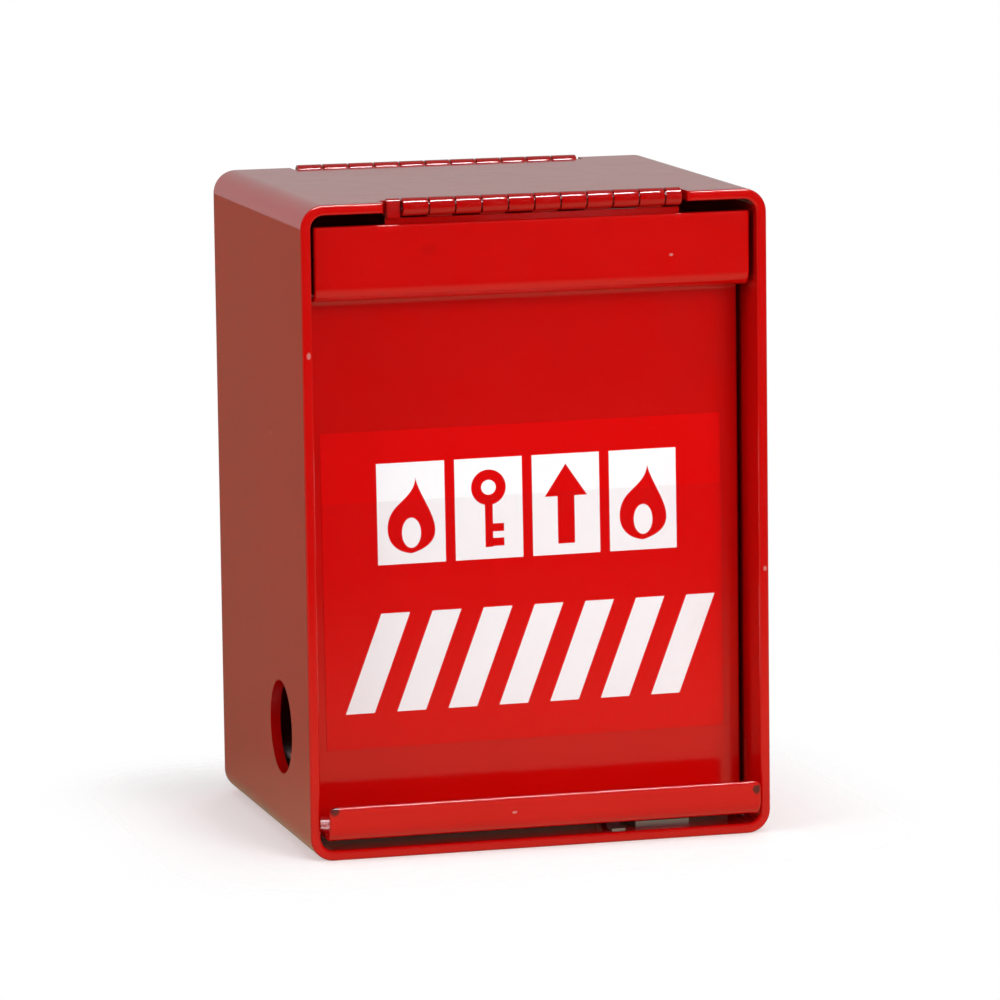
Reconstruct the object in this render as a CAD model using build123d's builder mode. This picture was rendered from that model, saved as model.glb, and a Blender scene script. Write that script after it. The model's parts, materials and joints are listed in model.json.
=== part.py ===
from build123d import *
import os
from math import cos, radians, sin

# Emergency access box: a length of rectangular steel tube with a flap door on a continuous
# hinge at each open end, and a key switch, cam, snap switch and terminal block on a tray.
# Frame: millimetres, +Z up, origin at the middle of the underside. The front door faces -Y.

# ---------------------------------------------------------------- tube
TUBE_WIDTH = 111.2          # outside, across X
TUBE_HEIGHT = 152.4         # outside, along Z
TUBE_DEPTH = 92.4           # along Y, rim to rim
WALL = 2.4
TUBE_CORNER = 5.5           # outside corner radius of the section
RIM_ROUND = 0.7             # edges of both cut ends

CONDUIT_DIAMETER = 22.2     # 7/8 in hole for 1/2 in conduit, left wall
CONDUIT_SETBACK = 29.1      # hole centre behind the front rim
CONDUIT_HEIGHT = 26.9       # hole centre above the underside

BOLT_HOLE = 7.0             # four holes in the floor, clearance for 1/4 in or M6 bolts
BOLT_SPACING_X = 72.0
BOLT_SPACING_Y = 36.0

# ---------------------------------------------------------------- hinges
HINGE_LENGTH = 70.3
HINGE_OFFSET = 0.3          # middle of the hinge from the middle of the tube
KNUCKLES = 11               # full knuckles on each hinge
KNUCKLE_SHORT = 0.35        # share cut off the front hinge's last knuckle
CRIMP_LENGTH = 3.5          # flattened end knuckle of the front hinge, which keeps its pin in
CRIMP_FRONT = 0.2           # how far the flattened knuckle stands in front of the pin axis
CRIMP_RISE = 1.9            # and above it
KNUCKLE_GAP = 0.35          # axial gap between neighbouring knuckles
LEAF = 1.0                  # leaf thickness
PIN_RADIUS = 1.05
PIN_FIT = 0.05              # running clearance round the pin
PIN_INSET = 0.3             # pin's end inside the last knuckle
LEAF_REACH = 14.0           # from the pin axis to the leaf's free edge
KNUCKLE_RELIEF = 0.5        # clearance of the leaf's cut-outs round the other leaf's knuckles
FLANGE_SETBACK = 2.2        # front face of the hanging flange behind the rim
NOTCH_MARGIN = 1.1          # notch beyond each end of the hinge
NOTCH_DEPTH = 5.6
NOTCH_MOUTH = 1.2           # rounding of the notch's two mouth corners

# ---------------------------------------------------------------- doors
SHEET = 1.5
DOOR_SIDE_GAP = 1.2         # between the door and each side wall
BEND_INSIDE = 2.0           # inside radius of every bend
FLANGE_DROP = 5.3           # top edge of the flange below the top of the tube
FLANGE_HEIGHT = 17.5
PANEL_SETBACK = 12.5        # front face of the recessed panel behind the rim
LIP_PROUD = 4.0             # front face of the finger lip ahead of the rim
LIP_HEIGHT = 8.2            # from the underside of the trough to the lip's edge
DOOR_FLOOR_GAP = 2.6        # under the trough
LIP_END_ROUND = 1.5
EDGE_BREAK = 0.55           # painted sheet edges

LABEL_MARGIN = 3.75         # beside the label, to the door's edges
LABEL_HEIGHT = 74.6
LABEL_OFFSET = -0.35        # middle of the label from the middle of the door
LABEL_BOTTOM = 23.8         # above the underside of the tube
LABEL_FILM = 0.15
LABEL_TILT = 0.35           # degrees
OVERLAY_HEIGHT = 58.0       # clear strip laid over the lower part
OVERLAY_EXTRA = 0.7         # the strip runs past the label's right edge
OVERLAY_FILM = 0.1
PRINT_FILM = 0.1
TILE_LEFT = 13.2            # from the label's left edge to the row of picture tiles
TILE_RIGHT = 10.9           # and from the row to its right edge
TILE_ROW_BOTTOM = 66.9      # above the underside of the tube
TILE_HEIGHT = 23.8
TILE_GAP = 2.4
STRIPES = 7
STRIPE_LEFT = 4.7           # from the label's left edge to the stripes
STRIPE_RIGHT = 1.8          # and from the stripes to its right edge
STRIPE_BOTTOM = 32.2
STRIPE_HEIGHT = 23.3
STRIPE_SHARE = 0.56         # white part of each pitch
STRIPE_SLANT = 9.0

# ---------------------------------------------------------------- tray
TRAY_TOP = 19.5             # above the underside
TRAY_SHEET = 1.5
BUMPER_GAP = 0.1            # between the closed door and the bumpers
TRAY_SIDE_GAP = 0.8
TRAY_CORNER_GAP = 0.5       # round the inside corners of the tube
BUMPER_THICK = 1.1
BUMPER_RADIUS = 4.0
BUMPER_INSET = 12.4         # bumper's middle from the tray's end
BUMPER_BELOW_TOP = 5.5
FOOT_X = 30.0               # front foot to the right, rear foot to the left
FOOT_WIDTH = 13.0
FOOT_REACH = 11.5
FOOT_SCREW_REACH = 6.5
ACCESS_HOLE = 14.0          # over each floor bolt
CATCH_X = 18.6
CATCH_WIDTH = 3.2
CATCH_SHEET = 0.6
CATCH_TAIL = 9.0            # height of its tail against the tray
CATCH_SETBACK = 1.2         # tip of the catch spring behind the rim
CATCH_GAP = 0.5             # between its bump and the trough

# ---------------------------------------------------------------- switch bracket
PLATE_EDGE = 3.0            # outside the snap switch's screws
PLATE_CORNER = 6.0
PLATE_TOP = 104.0
PLATE_SHEET = 2.0
PLATE_SETBACK = 8.0         # front face of the plate behind the tray's front edge
PLATE_FOOT = 18.0
PLATE_SCREW_INSET = 10.3    # foot screws inside the plate's edges
LOCK_HEIGHT = 68.0
LOCK_RADIUS = 9.5
LOCK_FLAT = 8.3             # half width across the two flats
LOCK_LENGTH = 24.0          # behind the plate
BEZEL_RADIUS = 13.0
BEZEL_THICK = 3.0
NUT_ACROSS = 24.0
NUT_THICK = 4.0
PLUG_RADIUS = 6.2
PLUG_FIT = 0.08
PLUG_PROUD = 0.6
KEYWAY_WIDTH = 1.8
KEYWAY_HEIGHT = 8.0
TAIL_RADIUS = 2.6
TAIL_THREAD = 7.0           # depth of the cam screw's hole in the plug
THREAD_RUNOUT = 0.5         # between the screw's tip and the end of its hole
CAM_THICK = 2.0
CAM_REACH = 18.4
CAM_WIDTH = 8.0
COVER_RADIUS = 10.0         # swing-aside dust cover over the keyway
COVER_SHEET = 0.8
COVER_GAP = 0.3
COVER_RIVET = 1.2
COVER_EYE = 2.6
CAM_GAP = 0.3               # behind the barrel

SWITCH_WIDTH = 20.0
SWITCH_HEIGHT = 10.0
SWITCH_THICK = 6.4
SWITCH_PITCH = 9.5          # between its two screws
LEVER_ROOM = 1.6            # between the turned cam's tip and the switch
SWITCH_HOLES = 5.5          # from the lever's face of the switch to its two screws
BUTTON_RADIUS = 1.0
BUTTON_PROUD = 1.15
BUTTON_LENGTH = 3.4         # depth of its bore
BUTTON_TRAVEL = 0.35
BUTTON_BELOW = 2.0          # below the lock's axis
LEVER_SHEET = 0.4
LEVER_WIDTH = 3.6
LEVER_LENGTH = 18.0
LEVER_LEAN = 7.0            # degrees from upright at rest
LEVER_STANDOFF = 0.75

TERMINALS = 4
TERMINAL_PITCH = 8.0
TERMINAL_DEPTH = 16.0
TERMINAL_HEIGHT = 12.0
TERMINAL_INSET = 7.0        # behind the block, to the tray's rear edge
CLAMP_WELL = 2.0            # radius of each clamp screw's well

SCREW_RADIUS = 2.0          # M4 shank
SCREW_HEAD = 3.8
SCREW_HEAD_THICK = 2.2
SCREW_LENGTH = 9.0          # under the head
SMALL_SCREW_RADIUS = 1.5    # M3 shank
SMALL_HEAD = 2.75
SMALL_HEAD_THICK = 1.8
SHANK_FIT = 0.05            # round each shank
NUT_M4_ACROSS = 7.0
NUT_M4_THICK = 3.2
NUT_M3_ACROSS = 5.5
NUT_M3_THICK = 2.4
SPACER_RADIUS = 2.75
STUD_INSET = 9.4            # earth stud inside the tray's side edge
STUD_Y = 2.0
STUD_LENGTH = 14.0
TOUCH = 0.05                # gap left between surfaces that only meet

# ---------------------------------------------------------------- worked out
HALF_W = TUBE_WIDTH / 2
HALF_D = TUBE_DEPTH / 2
INNER_W = TUBE_WIDTH - 2 * WALL
INNER_HALF = INNER_W / 2
FRONT = -HALF_D
CEILING = TUBE_HEIGHT - WALL
KNUCKLE_RADIUS = PIN_RADIUS + PIN_FIT + LEAF
BORE_RADIUS = PIN_RADIUS + PIN_FIT
AXIS_Y = FRONT + FLANGE_SETBACK + SHEET - BORE_RADIUS
AXIS_Z = CEILING + KNUCKLE_RADIUS - LEAF
HINGE_START = HINGE_OFFSET - HINGE_LENGTH / 2
HINGE_END = HINGE_OFFSET + HINGE_LENGTH / 2
DOOR_HALF = INNER_HALF - DOOR_SIDE_GAP
DOOR_BOTTOM = WALL + DOOR_FLOOR_GAP
FLANGE_TOP = TUBE_HEIGHT - FLANGE_DROP
PANEL_FACE = FRONT + PANEL_SETBACK
PANEL_BACK = PANEL_FACE + SHEET
LABEL_WIDTH = 2 * (DOOR_HALF - LABEL_MARGIN)
TRAY_HALF = INNER_HALF - TRAY_SIDE_GAP
TRAY_FRONT = PANEL_BACK + BUMPER_GAP + BUMPER_THICK
TRAY_HALF_DEPTH = -TRAY_FRONT
SINK_HEAD = SCREW_RADIUS + TRAY_SHEET - 0.1
BUMPER_X = TRAY_HALF - BUMPER_INSET
STUD_PLACE = (STUD_INSET - TRAY_HALF, STUD_Y)
TERMINAL_Y = TRAY_HALF_DEPTH - TERMINAL_INSET - TERMINAL_DEPTH / 2
CATCH_TIP = FRONT + CATCH_SETBACK
CATCH_CREST = DOOR_BOTTOM - CATCH_GAP
PLATE_FACE = TRAY_FRONT + PLATE_SETBACK
PLATE_BACK = PLATE_FACE + PLATE_SHEET
SWITCH_FACE = CAM_REACH + LEVER_ROOM
SWITCH_X = SWITCH_FACE + SWITCH_HOLES
SWITCH_FRONT = PLATE_BACK + LOCK_LENGTH + CAM_GAP + (CAM_THICK - SWITCH_THICK) / 2
PLATE_WIDTH = 2 * (SWITCH_X + PLATE_EDGE)
COVER_PIVOT_RISE = BEZEL_RADIUS - COVER_EYE

os.makedirs("parts", exist_ok=True)


def save(part, name, rear=False):
    """Labels one finished piece, turned half round for the rear end, and writes its STEP file."""
    piece = part.rotate(Axis.Z, 180) if rear else part
    piece.label = name
    export_step(piece, f"parts/{name}.step")
    return piece


def slab(low, high):
    """Adds a block between two corners to the part being built."""
    size = [b - a for a, b in zip(low, high)]
    middle = [(a + b) / 2 for a, b in zip(low, high)]
    with Locations(tuple(middle)):
        Box(*size)


def cut_slab(low, high):
    """Cuts a block between two corners from the part being built."""
    size = [b - a for a, b in zip(low, high)]
    middle = [(a + b) / 2 for a, b in zip(low, high)]
    with Locations(tuple(middle)):
        Box(*size, mode=Mode.SUBTRACT)


# ---------------------------------------------------------------- tube body
def foot_screw_places():
    """Where the tray's two feet are screwed to the floor, seen from above."""
    reach = TRAY_HALF_DEPTH + FOOT_SCREW_REACH
    return [(FOOT_X, -reach), (-FOOT_X, reach)]


def tube_body():
    """Rectangular tube with rounded rims, a hinge notch at each end and its holes."""
    start, end = HINGE_START - NOTCH_MARGIN, HINGE_END + NOTCH_MARGIN
    mouth, back, outside = FRONT + NOTCH_MOUTH, FRONT + NOTCH_DEPTH, FRONT - 1
    with BuildPart() as tube:
        with BuildSketch(Plane.XZ):
            with Locations((0, TUBE_HEIGHT / 2)):
                RectangleRounded(TUBE_WIDTH, TUBE_HEIGHT, TUBE_CORNER)
                RectangleRounded(INNER_W, TUBE_HEIGHT - 2 * WALL, TUBE_CORNER - WALL, mode=Mode.SUBTRACT)
        extrude(amount=HALF_D, both=True)
        ends = tube.faces().filter_by(Axis.Y)
        fillet(ends.edges(), RIM_ROUND)
        for turn in (0, 180):
            with BuildSketch(Plane.XY.offset(CEILING - 1).rotated((0, 0, turn))):
                with BuildLine():
                    left = CenterArc((start - NOTCH_MOUTH, mouth), NOTCH_MOUTH, -90, 90)
                    right = CenterArc((end + NOTCH_MOUTH, mouth), NOTCH_MOUTH, 180, 90)
                    Polyline(left @ 1, (start, back), (end, back), right @ 0)
                    far, near = end + NOTCH_MOUTH, start - NOTCH_MOUTH
                    Polyline(right @ 1, (far, outside), (near, outside), left @ 0)
                make_face()
            extrude(amount=WALL + 2, mode=Mode.SUBTRACT)
        with Locations(Plane((-HALF_W, FRONT + CONDUIT_SETBACK, CONDUIT_HEIGHT), z_dir=(-1, 0, 0))):
            Hole(CONDUIT_DIAMETER / 2, depth=WALL + 1)
        with Locations(Plane.XY.offset(WALL)):
            with GridLocations(BOLT_SPACING_X, BOLT_SPACING_Y, 2, 2):
                Hole(BOLT_HOLE / 2, depth=WALL + 1)
            with Locations(*foot_screw_places()):
                Hole(SCREW_RADIUS + SHANK_FIT, depth=WALL + 1)
    return tube.part


# ---------------------------------------------------------------- hinges
def knuckle_spans(crimped):
    """(start, end) along X of each knuckle, from the left end of the hinge."""
    first = CRIMP_LENGTH if crimped else 0.0
    if crimped:
        pitch = (HINGE_LENGTH - first) / (KNUCKLES - KNUCKLE_SHORT)
        edges = [HINGE_START, HINGE_START + first]
        edges += [HINGE_START + first + pitch * i for i in range(1, KNUCKLES)]
        edges.append(HINGE_END)
    else:
        pitch = HINGE_LENGTH / KNUCKLES
        edges = [HINGE_START + pitch * i for i in range(KNUCKLES + 1)]
    return list(zip(edges, edges[1:]))


def hinge_leaf(fixed, crimped):
    """One leaf with its own knuckles: the fixed leaf lies under the tube's top wall,
    and the moving leaf hangs behind the door's flange."""
    spans = knuckle_spans(crimped)
    own = [s for i, s in enumerate(spans) if (i % 2 == 1) == fixed]
    body = KNUCKLE_RADIUS + KNUCKLE_RELIEF
    with BuildPart() as leaf:
        for a, b in own:
            start, length = a + KNUCKLE_GAP / 2, b - a - KNUCKLE_GAP
            flat = crimped and a == HINGE_START
            with BuildSketch(Plane.YZ.offset(start)):
                if flat:
                    width = KNUCKLE_RADIUS + CRIMP_FRONT
                    height = body + CRIMP_RISE
                    with Locations((AXIS_Y - CRIMP_FRONT + width / 2, AXIS_Z + CRIMP_RISE - height / 2)):
                        RectangleRounded(width, height, width * 0.45)
                        with Locations((0, -height / 4)):
                            Rectangle(width, height / 2)
                else:
                    with Locations((AXIS_Y, AXIS_Z)):
                        Circle(KNUCKLE_RADIUS)
                        middle = (KNUCKLE_RADIUS + BORE_RADIUS) / 2
                        if fixed:
                            with Locations((body / 2, -middle)):
                                Rectangle(body, LEAF)
                        else:
                            with Locations((middle, -body / 2)):
                                Rectangle(LEAF, body)
                        Circle(BORE_RADIUS, mode=Mode.SUBTRACT)
            extrude(amount=length)
        if fixed:
            z1 = AXIS_Z - BORE_RADIUS
            slab((HINGE_START, AXIS_Y + body, z1 - LEAF), (HINGE_END, AXIS_Y + LEAF_REACH, z1))
        else:
            y0 = AXIS_Y + BORE_RADIUS
            slab((HINGE_START, y0, AXIS_Z - LEAF_REACH), (HINGE_END, y0 + LEAF, AXIS_Z - body))
    return leaf.part


def hinge_pin(crimped):
    """The pin, from the flattened knuckle or the first end to just inside the last end."""
    start = HINGE_START + (CRIMP_LENGTH + KNUCKLE_GAP if crimped else PIN_INSET)
    with BuildPart() as pin:
        with BuildSketch(Plane.YZ.offset(start)):
            with Locations((AXIS_Y, AXIS_Z)):
                Circle(PIN_RADIUS)
        extrude(amount=HINGE_END - PIN_INSET - start)
        chamfer(pin.edges().filter_by(GeomType.CIRCLE), PIN_RADIUS * 0.25)
    return pin.part


# ---------------------------------------------------------------- doors
def door():
    """One bent sheet: flange, step back, panel, trough and upturned finger lip."""
    middle = SHEET / 2
    bend = BEND_INSIDE + middle
    flange = AXIS_Y + BORE_RADIUS - middle
    panel = PANEL_FACE + middle
    lip = FRONT - LIP_PROUD + middle
    step = FLANGE_TOP - FLANGE_HEIGHT + middle
    trough = DOOR_BOTTOM + middle
    with BuildPart() as sheet:
        with BuildSketch(Plane.YZ):
            with BuildLine():
                FilletPolyline(
                    (flange, FLANGE_TOP),
                    (flange, step),
                    (panel, step),
                    (panel, trough),
                    (lip, trough),
                    (lip, DOOR_BOTTOM + LIP_HEIGHT),
                    radius=bend,
                )
            trace(line_width=SHEET)
        extrude(amount=DOOR_HALF, both=True)
        lip_ends = sheet.edges().filter_by(Axis.Y).filter_by_position(Axis.Y, FRONT - LIP_PROUD - 1, FRONT)
        fillet(lip_ends.group_by(Axis.Z)[-1], LIP_END_ROUND)
        outline = sheet.faces().filter_by(Axis.X).edges()
        for face in sheet.faces().filter_by(Axis.Z):
            if face.center().Z > DOOR_BOTTOM + LIP_HEIGHT - 0.1 and face.area < 4 * SHEET * DOOR_HALF:
                outline += face.edges().filter_by(Axis.X)
        fillet(outline, EDGE_BREAK)
    return sheet.part


def label_plane(lift):
    """The label's own plane, its origin at the middle of the label's bottom edge."""
    tilt = radians(LABEL_TILT)
    corner = (LABEL_OFFSET, PANEL_FACE - lift, LABEL_BOTTOM)
    return Plane(corner, x_dir=(cos(tilt), 0, sin(tilt)), z_dir=(0, -1, 0))


def label_base():
    """The red vinyl label on the front panel."""
    with BuildPart() as film:
        with BuildSketch(label_plane(0)):
            with Locations((0, LABEL_HEIGHT / 2)):
                Rectangle(LABEL_WIDTH, LABEL_HEIGHT)
        extrude(amount=LABEL_FILM)
    return film.part


def label_overlay():
    """The clear strip over the lower part of the label."""
    width = LABEL_WIDTH + OVERLAY_EXTRA
    with BuildPart() as film:
        with BuildSketch(label_plane(LABEL_FILM + PRINT_FILM)):
            with Locations((OVERLAY_EXTRA / 2, OVERLAY_HEIGHT / 2)):
                Rectangle(width, OVERLAY_HEIGHT)
        extrude(amount=OVERLAY_FILM)
    return film.part


def flame(height):
    """A plain flame cut from its tile: a drop with a smaller drop left inside it."""
    r = height * 0.3
    low = -height / 2
    drop = [(0, low), (r, low + r), (r * 0.8, low + r * 1.7), (r * 0.2, low + height)]
    drop += [(-r * 0.45, low + r * 2.1), (-r * 0.75, low + r * 1.8), (-r, low + r)]
    with BuildSketch() as outline:
        with BuildLine():
            Spline(*drop[:4])
            Spline(*drop[3:], drop[0])
        make_face()
    add(outline.sketch, mode=Mode.SUBTRACT)
    with Locations((0, low + r * 0.85)):
        Ellipse(r * 0.4, r * 0.62)


def key_sign(height):
    """A plain key standing upright: a ring, a blade and two bits."""
    r = height * 0.22
    with Locations((0, height * 0.26)):
        Circle(r, mode=Mode.SUBTRACT)
        Circle(r * 0.42)
    with Locations((0, -height * 0.2)):
        Rectangle(height * 0.1, height * 0.56, mode=Mode.SUBTRACT)
    for rise in (-0.42, -0.24):
        with Locations((height * 0.1, height * rise)):
            Rectangle(height * 0.18, height * 0.1, mode=Mode.SUBTRACT)


def arrow_sign(height):
    """A plain arrow pointing up, for lifting the flap."""
    half = height * 0.27
    corners = ((0, height / 2), (half, height * 0.1), (-half, height * 0.1))
    Polygon(*corners, align=None, mode=Mode.SUBTRACT)
    with Locations((0, -height * 0.18)):
        Rectangle(half * 0.8, height * 0.62, mode=Mode.SUBTRACT)


def label_print():
    """White film on the label: a row of four picture tiles over a band of slanted stripes."""
    row = LABEL_WIDTH - TILE_LEFT - TILE_RIGHT
    tile_w = (row - 3 * TILE_GAP) / 4
    with BuildPart() as film:
        with BuildSketch(label_plane(LABEL_FILM)):
            for i, sign in enumerate((flame, key_sign, arrow_sign, flame)):
                x = (TILE_LEFT - TILE_RIGHT) / 2 + (i - 1.5) * (tile_w + TILE_GAP)
                with Locations((x, TILE_ROW_BOTTOM - LABEL_BOTTOM + TILE_HEIGHT / 2)):
                    Rectangle(tile_w, TILE_HEIGHT)
                    sign(TILE_HEIGHT * 0.8)
        extrude(amount=PRINT_FILM)
        with BuildSketch(label_plane(LABEL_FILM)):
            band = LABEL_WIDTH - STRIPE_LEFT - STRIPE_RIGHT - STRIPE_SLANT
            pitch = band / (STRIPES - 1 + STRIPE_SHARE)
            low = STRIPE_BOTTOM - LABEL_BOTTOM
            for i in range(STRIPES):
                x = STRIPE_LEFT - LABEL_WIDTH / 2 + i * pitch
                with BuildLine():
                    Polyline(
                        (x, low),
                        (x + pitch * STRIPE_SHARE, low),
                        (x + pitch * STRIPE_SHARE + STRIPE_SLANT, low + STRIPE_HEIGHT),
                        (x + STRIPE_SLANT, low + STRIPE_HEIGHT),
                        close=True,
                    )
                make_face()
        extrude(amount=PRINT_FILM)
    return film.part


# ---------------------------------------------------------------- tray
def tray():
    """Inverted channel over the floor, with a foot at each end and holes over the floor bolts."""
    with BuildPart() as channel:
        d, t = TRAY_HALF_DEPTH, TRAY_SHEET
        slab((-TRAY_HALF, -d, TRAY_TOP - t), (TRAY_HALF, d, TRAY_TOP))
        for turn in (1, -1):
            y0, y1 = sorted((turn * -d, turn * -(d - t)))
            slab((-TRAY_HALF, y0, WALL), (TRAY_HALF, y1, TRAY_TOP))
            a, b = sorted((turn * -(d + FOOT_REACH), turn * -d))
            x0, x1 = turn * FOOT_X - FOOT_WIDTH / 2, turn * FOOT_X + FOOT_WIDTH / 2
            slab((x0, a, WALL), (x1, b, WALL + t))
        clear = TUBE_CORNER - WALL + TRAY_CORNER_GAP
        for side in (1, -1):
            x0, x1 = sorted((side * (INNER_HALF - clear), side * INNER_HALF))
            cut_slab((x0, -d - 1, 0), (x1, d + 1, WALL + clear))
        corner = channel.edges().filter_by(Axis.X).group_by(Axis.Z)[-1]
        fillet(corner, t * 0.9)
        with Locations(Plane.XY.offset(TRAY_TOP)):
            with GridLocations(BOLT_SPACING_X, BOLT_SPACING_Y, 2, 2):
                Hole(ACCESS_HOLE / 2, depth=t + 1)
            with Locations(*bracket_screw_places(), STUD_PLACE):
                Hole(SCREW_RADIUS + SHANK_FIT, depth=t + 1)
            with Locations(*terminal_screw_places()):
                Hole(SMALL_SCREW_RADIUS + SHANK_FIT, depth=t + 1)
        with Locations(Plane.XY.offset(WALL + t)):
            with Locations(*foot_screw_places()):
                CounterSinkHole(SCREW_RADIUS + SHANK_FIT, SINK_HEAD + SHANK_FIT, depth=t + 1)
    return channel.part


def bumpers():
    """Two round rubber pads on the tray's front wall, which the closed door rests against."""
    with BuildPart() as pads:
        face = Plane((0, TRAY_FRONT, TRAY_TOP - BUMPER_BELOW_TOP), x_dir=(1, 0, 0), z_dir=(0, -1, 0))
        with BuildSketch(face):
            with Locations((-BUMPER_X, 0), (BUMPER_X, 0)):
                Circle(BUMPER_RADIUS)
        extrude(amount=BUMPER_THICK)
        rims = pads.faces().sort_by(Axis.Y)[:2].edges()
        fillet(rims, BUMPER_THICK * 0.4)
    return pads.part


def catch_spring():
    """A narrow spring strip along the floor, whose crest keeps the trough from rattling."""
    half = CATCH_SHEET / 2
    back, floor = TRAY_FRONT - half, WALL + half
    crest = (back + CATCH_TIP + half) / 2
    with BuildPart() as strip:
        with BuildSketch(Plane.YZ.offset(CATCH_X - CATCH_WIDTH / 2)):
            with BuildLine():
                FilletPolyline(
                    (back, WALL + CATCH_TAIL),
                    (back, floor),
                    (crest + 3, floor),
                    (crest, CATCH_CREST - half),
                    (crest - 3, floor),
                    (CATCH_TIP, floor),
                    radius=CATCH_SHEET,
                )
            trace(line_width=CATCH_SHEET)
        extrude(amount=CATCH_WIDTH)
    return strip.part


def screw(radius, length, head_radius, head_thick, place, down):
    """Adds one pan-head screw with a cross recess; down is the way its tip points."""
    base = Plane(place, z_dir=down)
    with BuildSketch(base) as shank:
        Circle(radius)
    extrude(shank.sketch, amount=length)
    with BuildSketch(base) as head:
        Circle(head_radius)
    extrude(head.sketch, amount=-head_thick)
    with BuildSketch(base.offset(-head_thick)) as recess:
        Rectangle(head_radius * 1.15, head_radius * 0.28)
        Rectangle(head_radius * 0.28, head_radius * 1.15)
    extrude(recess.sketch, amount=head_thick * 0.45, mode=Mode.SUBTRACT)


def nut(across, thick, bore, place, way):
    """Adds one hexagon nut whose face lies at place and which extends the given way."""
    with BuildSketch(Plane(place, z_dir=way)) as outline:
        RegularPolygon(across / 2, 6, major_radius=False)
        Circle(bore, mode=Mode.SUBTRACT)
    extrude(outline.sketch, amount=thick)


def tray_screws():
    """Two countersunk screws through the tray's feet into the floor."""
    sink = SINK_HEAD - SCREW_RADIUS
    with BuildPart() as screws:
        for x, y in foot_screw_places():
            with BuildSketch(Plane.XZ.offset(-y)):
                with BuildLine():
                    top = WALL + TRAY_SHEET
                    Polyline(
                        (x, top), (x + SINK_HEAD, top), (x + SCREW_RADIUS, top - sink),
                        (x + SCREW_RADIUS, 0.4), (x, 0.4), close=True,
                    )
                make_face()
            revolve(axis=Axis((x, y, 0), (0, 0, 1)))
            with BuildSketch(Plane((x, y, WALL + TRAY_SHEET))):
                Rectangle(SINK_HEAD * 1.1, SINK_HEAD * 0.26)
                Rectangle(SINK_HEAD * 0.26, SINK_HEAD * 1.1)
            extrude(amount=-sink * 0.6, mode=Mode.SUBTRACT)
    return screws.part


# ---------------------------------------------------------------- switch bracket and lock
def bracket_screw_places():
    """Where the bracket's foot is screwed to the tray, seen from above."""
    x = PLATE_WIDTH / 2 - PLATE_SCREW_INSET
    y = PLATE_BACK + PLATE_FOOT / 2
    return [(-x, y), (x, y)]


def spacer_places():
    """Height of the two screws of the snap switch."""
    return [LOCK_HEIGHT - SWITCH_PITCH / 2, LOCK_HEIGHT + SWITCH_PITCH / 2]


def bracket():
    """Upright plate for the key switch, bent back into a foot on the tray."""
    half = PLATE_WIDTH / 2
    with BuildPart() as plate:
        slab((-half, PLATE_FACE, TRAY_TOP), (half, PLATE_BACK, PLATE_TOP))
        slab((-half, PLATE_FACE, TRAY_TOP), (half, PLATE_BACK + PLATE_FOOT, TRAY_TOP + PLATE_SHEET))
        foot_top = TRAY_TOP + PLATE_SHEET
        bends = plate.edges().filter_by(Axis.X)
        inner = bends.filter_by_position(Axis.Y, PLATE_BACK - 0.1, PLATE_BACK + 0.1)
        fillet(inner.filter_by_position(Axis.Z, foot_top - 0.1, foot_top + 0.1), PLATE_SHEET)
        bends = plate.edges().filter_by(Axis.X)
        outer = bends.filter_by_position(Axis.Y, PLATE_FACE - 0.1, PLATE_FACE + 0.1)
        fillet(outer.filter_by_position(Axis.Z, TRAY_TOP - 0.1, TRAY_TOP + 0.1), PLATE_SHEET * 1.9)
        fillet(plate.edges().filter_by(Axis.Y).group_by(Axis.Z)[-1], PLATE_CORNER)
        front = Plane((0, PLATE_FACE, LOCK_HEIGHT), x_dir=(1, 0, 0), z_dir=(0, -1, 0))
        with BuildSketch(front):
            lock_section(SHANK_FIT)
        extrude(amount=-PLATE_SHEET, mode=Mode.SUBTRACT)
        with Locations(front):
            with Locations((SWITCH_X, -SWITCH_PITCH / 2), (SWITCH_X, SWITCH_PITCH / 2)):
                Hole(SMALL_SCREW_RADIUS + SHANK_FIT, depth=PLATE_SHEET + 1)
        with Locations(Plane.XY.offset(TRAY_TOP + PLATE_SHEET)):
            with Locations(*bracket_screw_places()):
                Hole(SCREW_RADIUS + SHANK_FIT, depth=PLATE_SHEET + 1)
    return plate.part


def lock_section(grow):
    """The lock barrel's section: a circle with two flats."""
    Circle(LOCK_RADIUS + grow)
    Rectangle(2 * (LOCK_FLAT + grow), 4 * LOCK_RADIUS, mode=Mode.INTERSECT)


def lock_plane(y):
    """A plane across the lock's axis, facing the front."""
    return Plane((0, y, LOCK_HEIGHT), x_dir=(1, 0, 0), z_dir=(0, -1, 0))


def lock_body():
    """Barrel and round bezel of the key switch."""
    with BuildPart() as body:
        with BuildSketch(lock_plane(PLATE_BACK + LOCK_LENGTH)):
            lock_section(0)
        extrude(amount=LOCK_LENGTH + PLATE_SHEET)
        with BuildSketch(lock_plane(PLATE_FACE)):
            Circle(BEZEL_RADIUS)
        extrude(amount=BEZEL_THICK)
        fillet(body.edges().filter_by(GeomType.CIRCLE).sort_by(Axis.Y)[0], 1.0)
        with Locations(lock_plane(PLATE_FACE - BEZEL_THICK)):
            Hole(PLUG_RADIUS + PLUG_FIT, depth=BEZEL_THICK + PLATE_SHEET + LOCK_LENGTH + 1)
            with Locations((0, COVER_PIVOT_RISE)):
                Hole(COVER_RIVET + SHANK_FIT, depth=BEZEL_THICK)
    return body.part


def lock_nut():
    """Hexagon nut behind the plate."""
    with BuildPart() as ring:
        nut(NUT_ACROSS, NUT_THICK, LOCK_RADIUS + SHANK_FIT, (0, PLATE_BACK, LOCK_HEIGHT), (0, 1, 0))
    return ring.part


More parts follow.
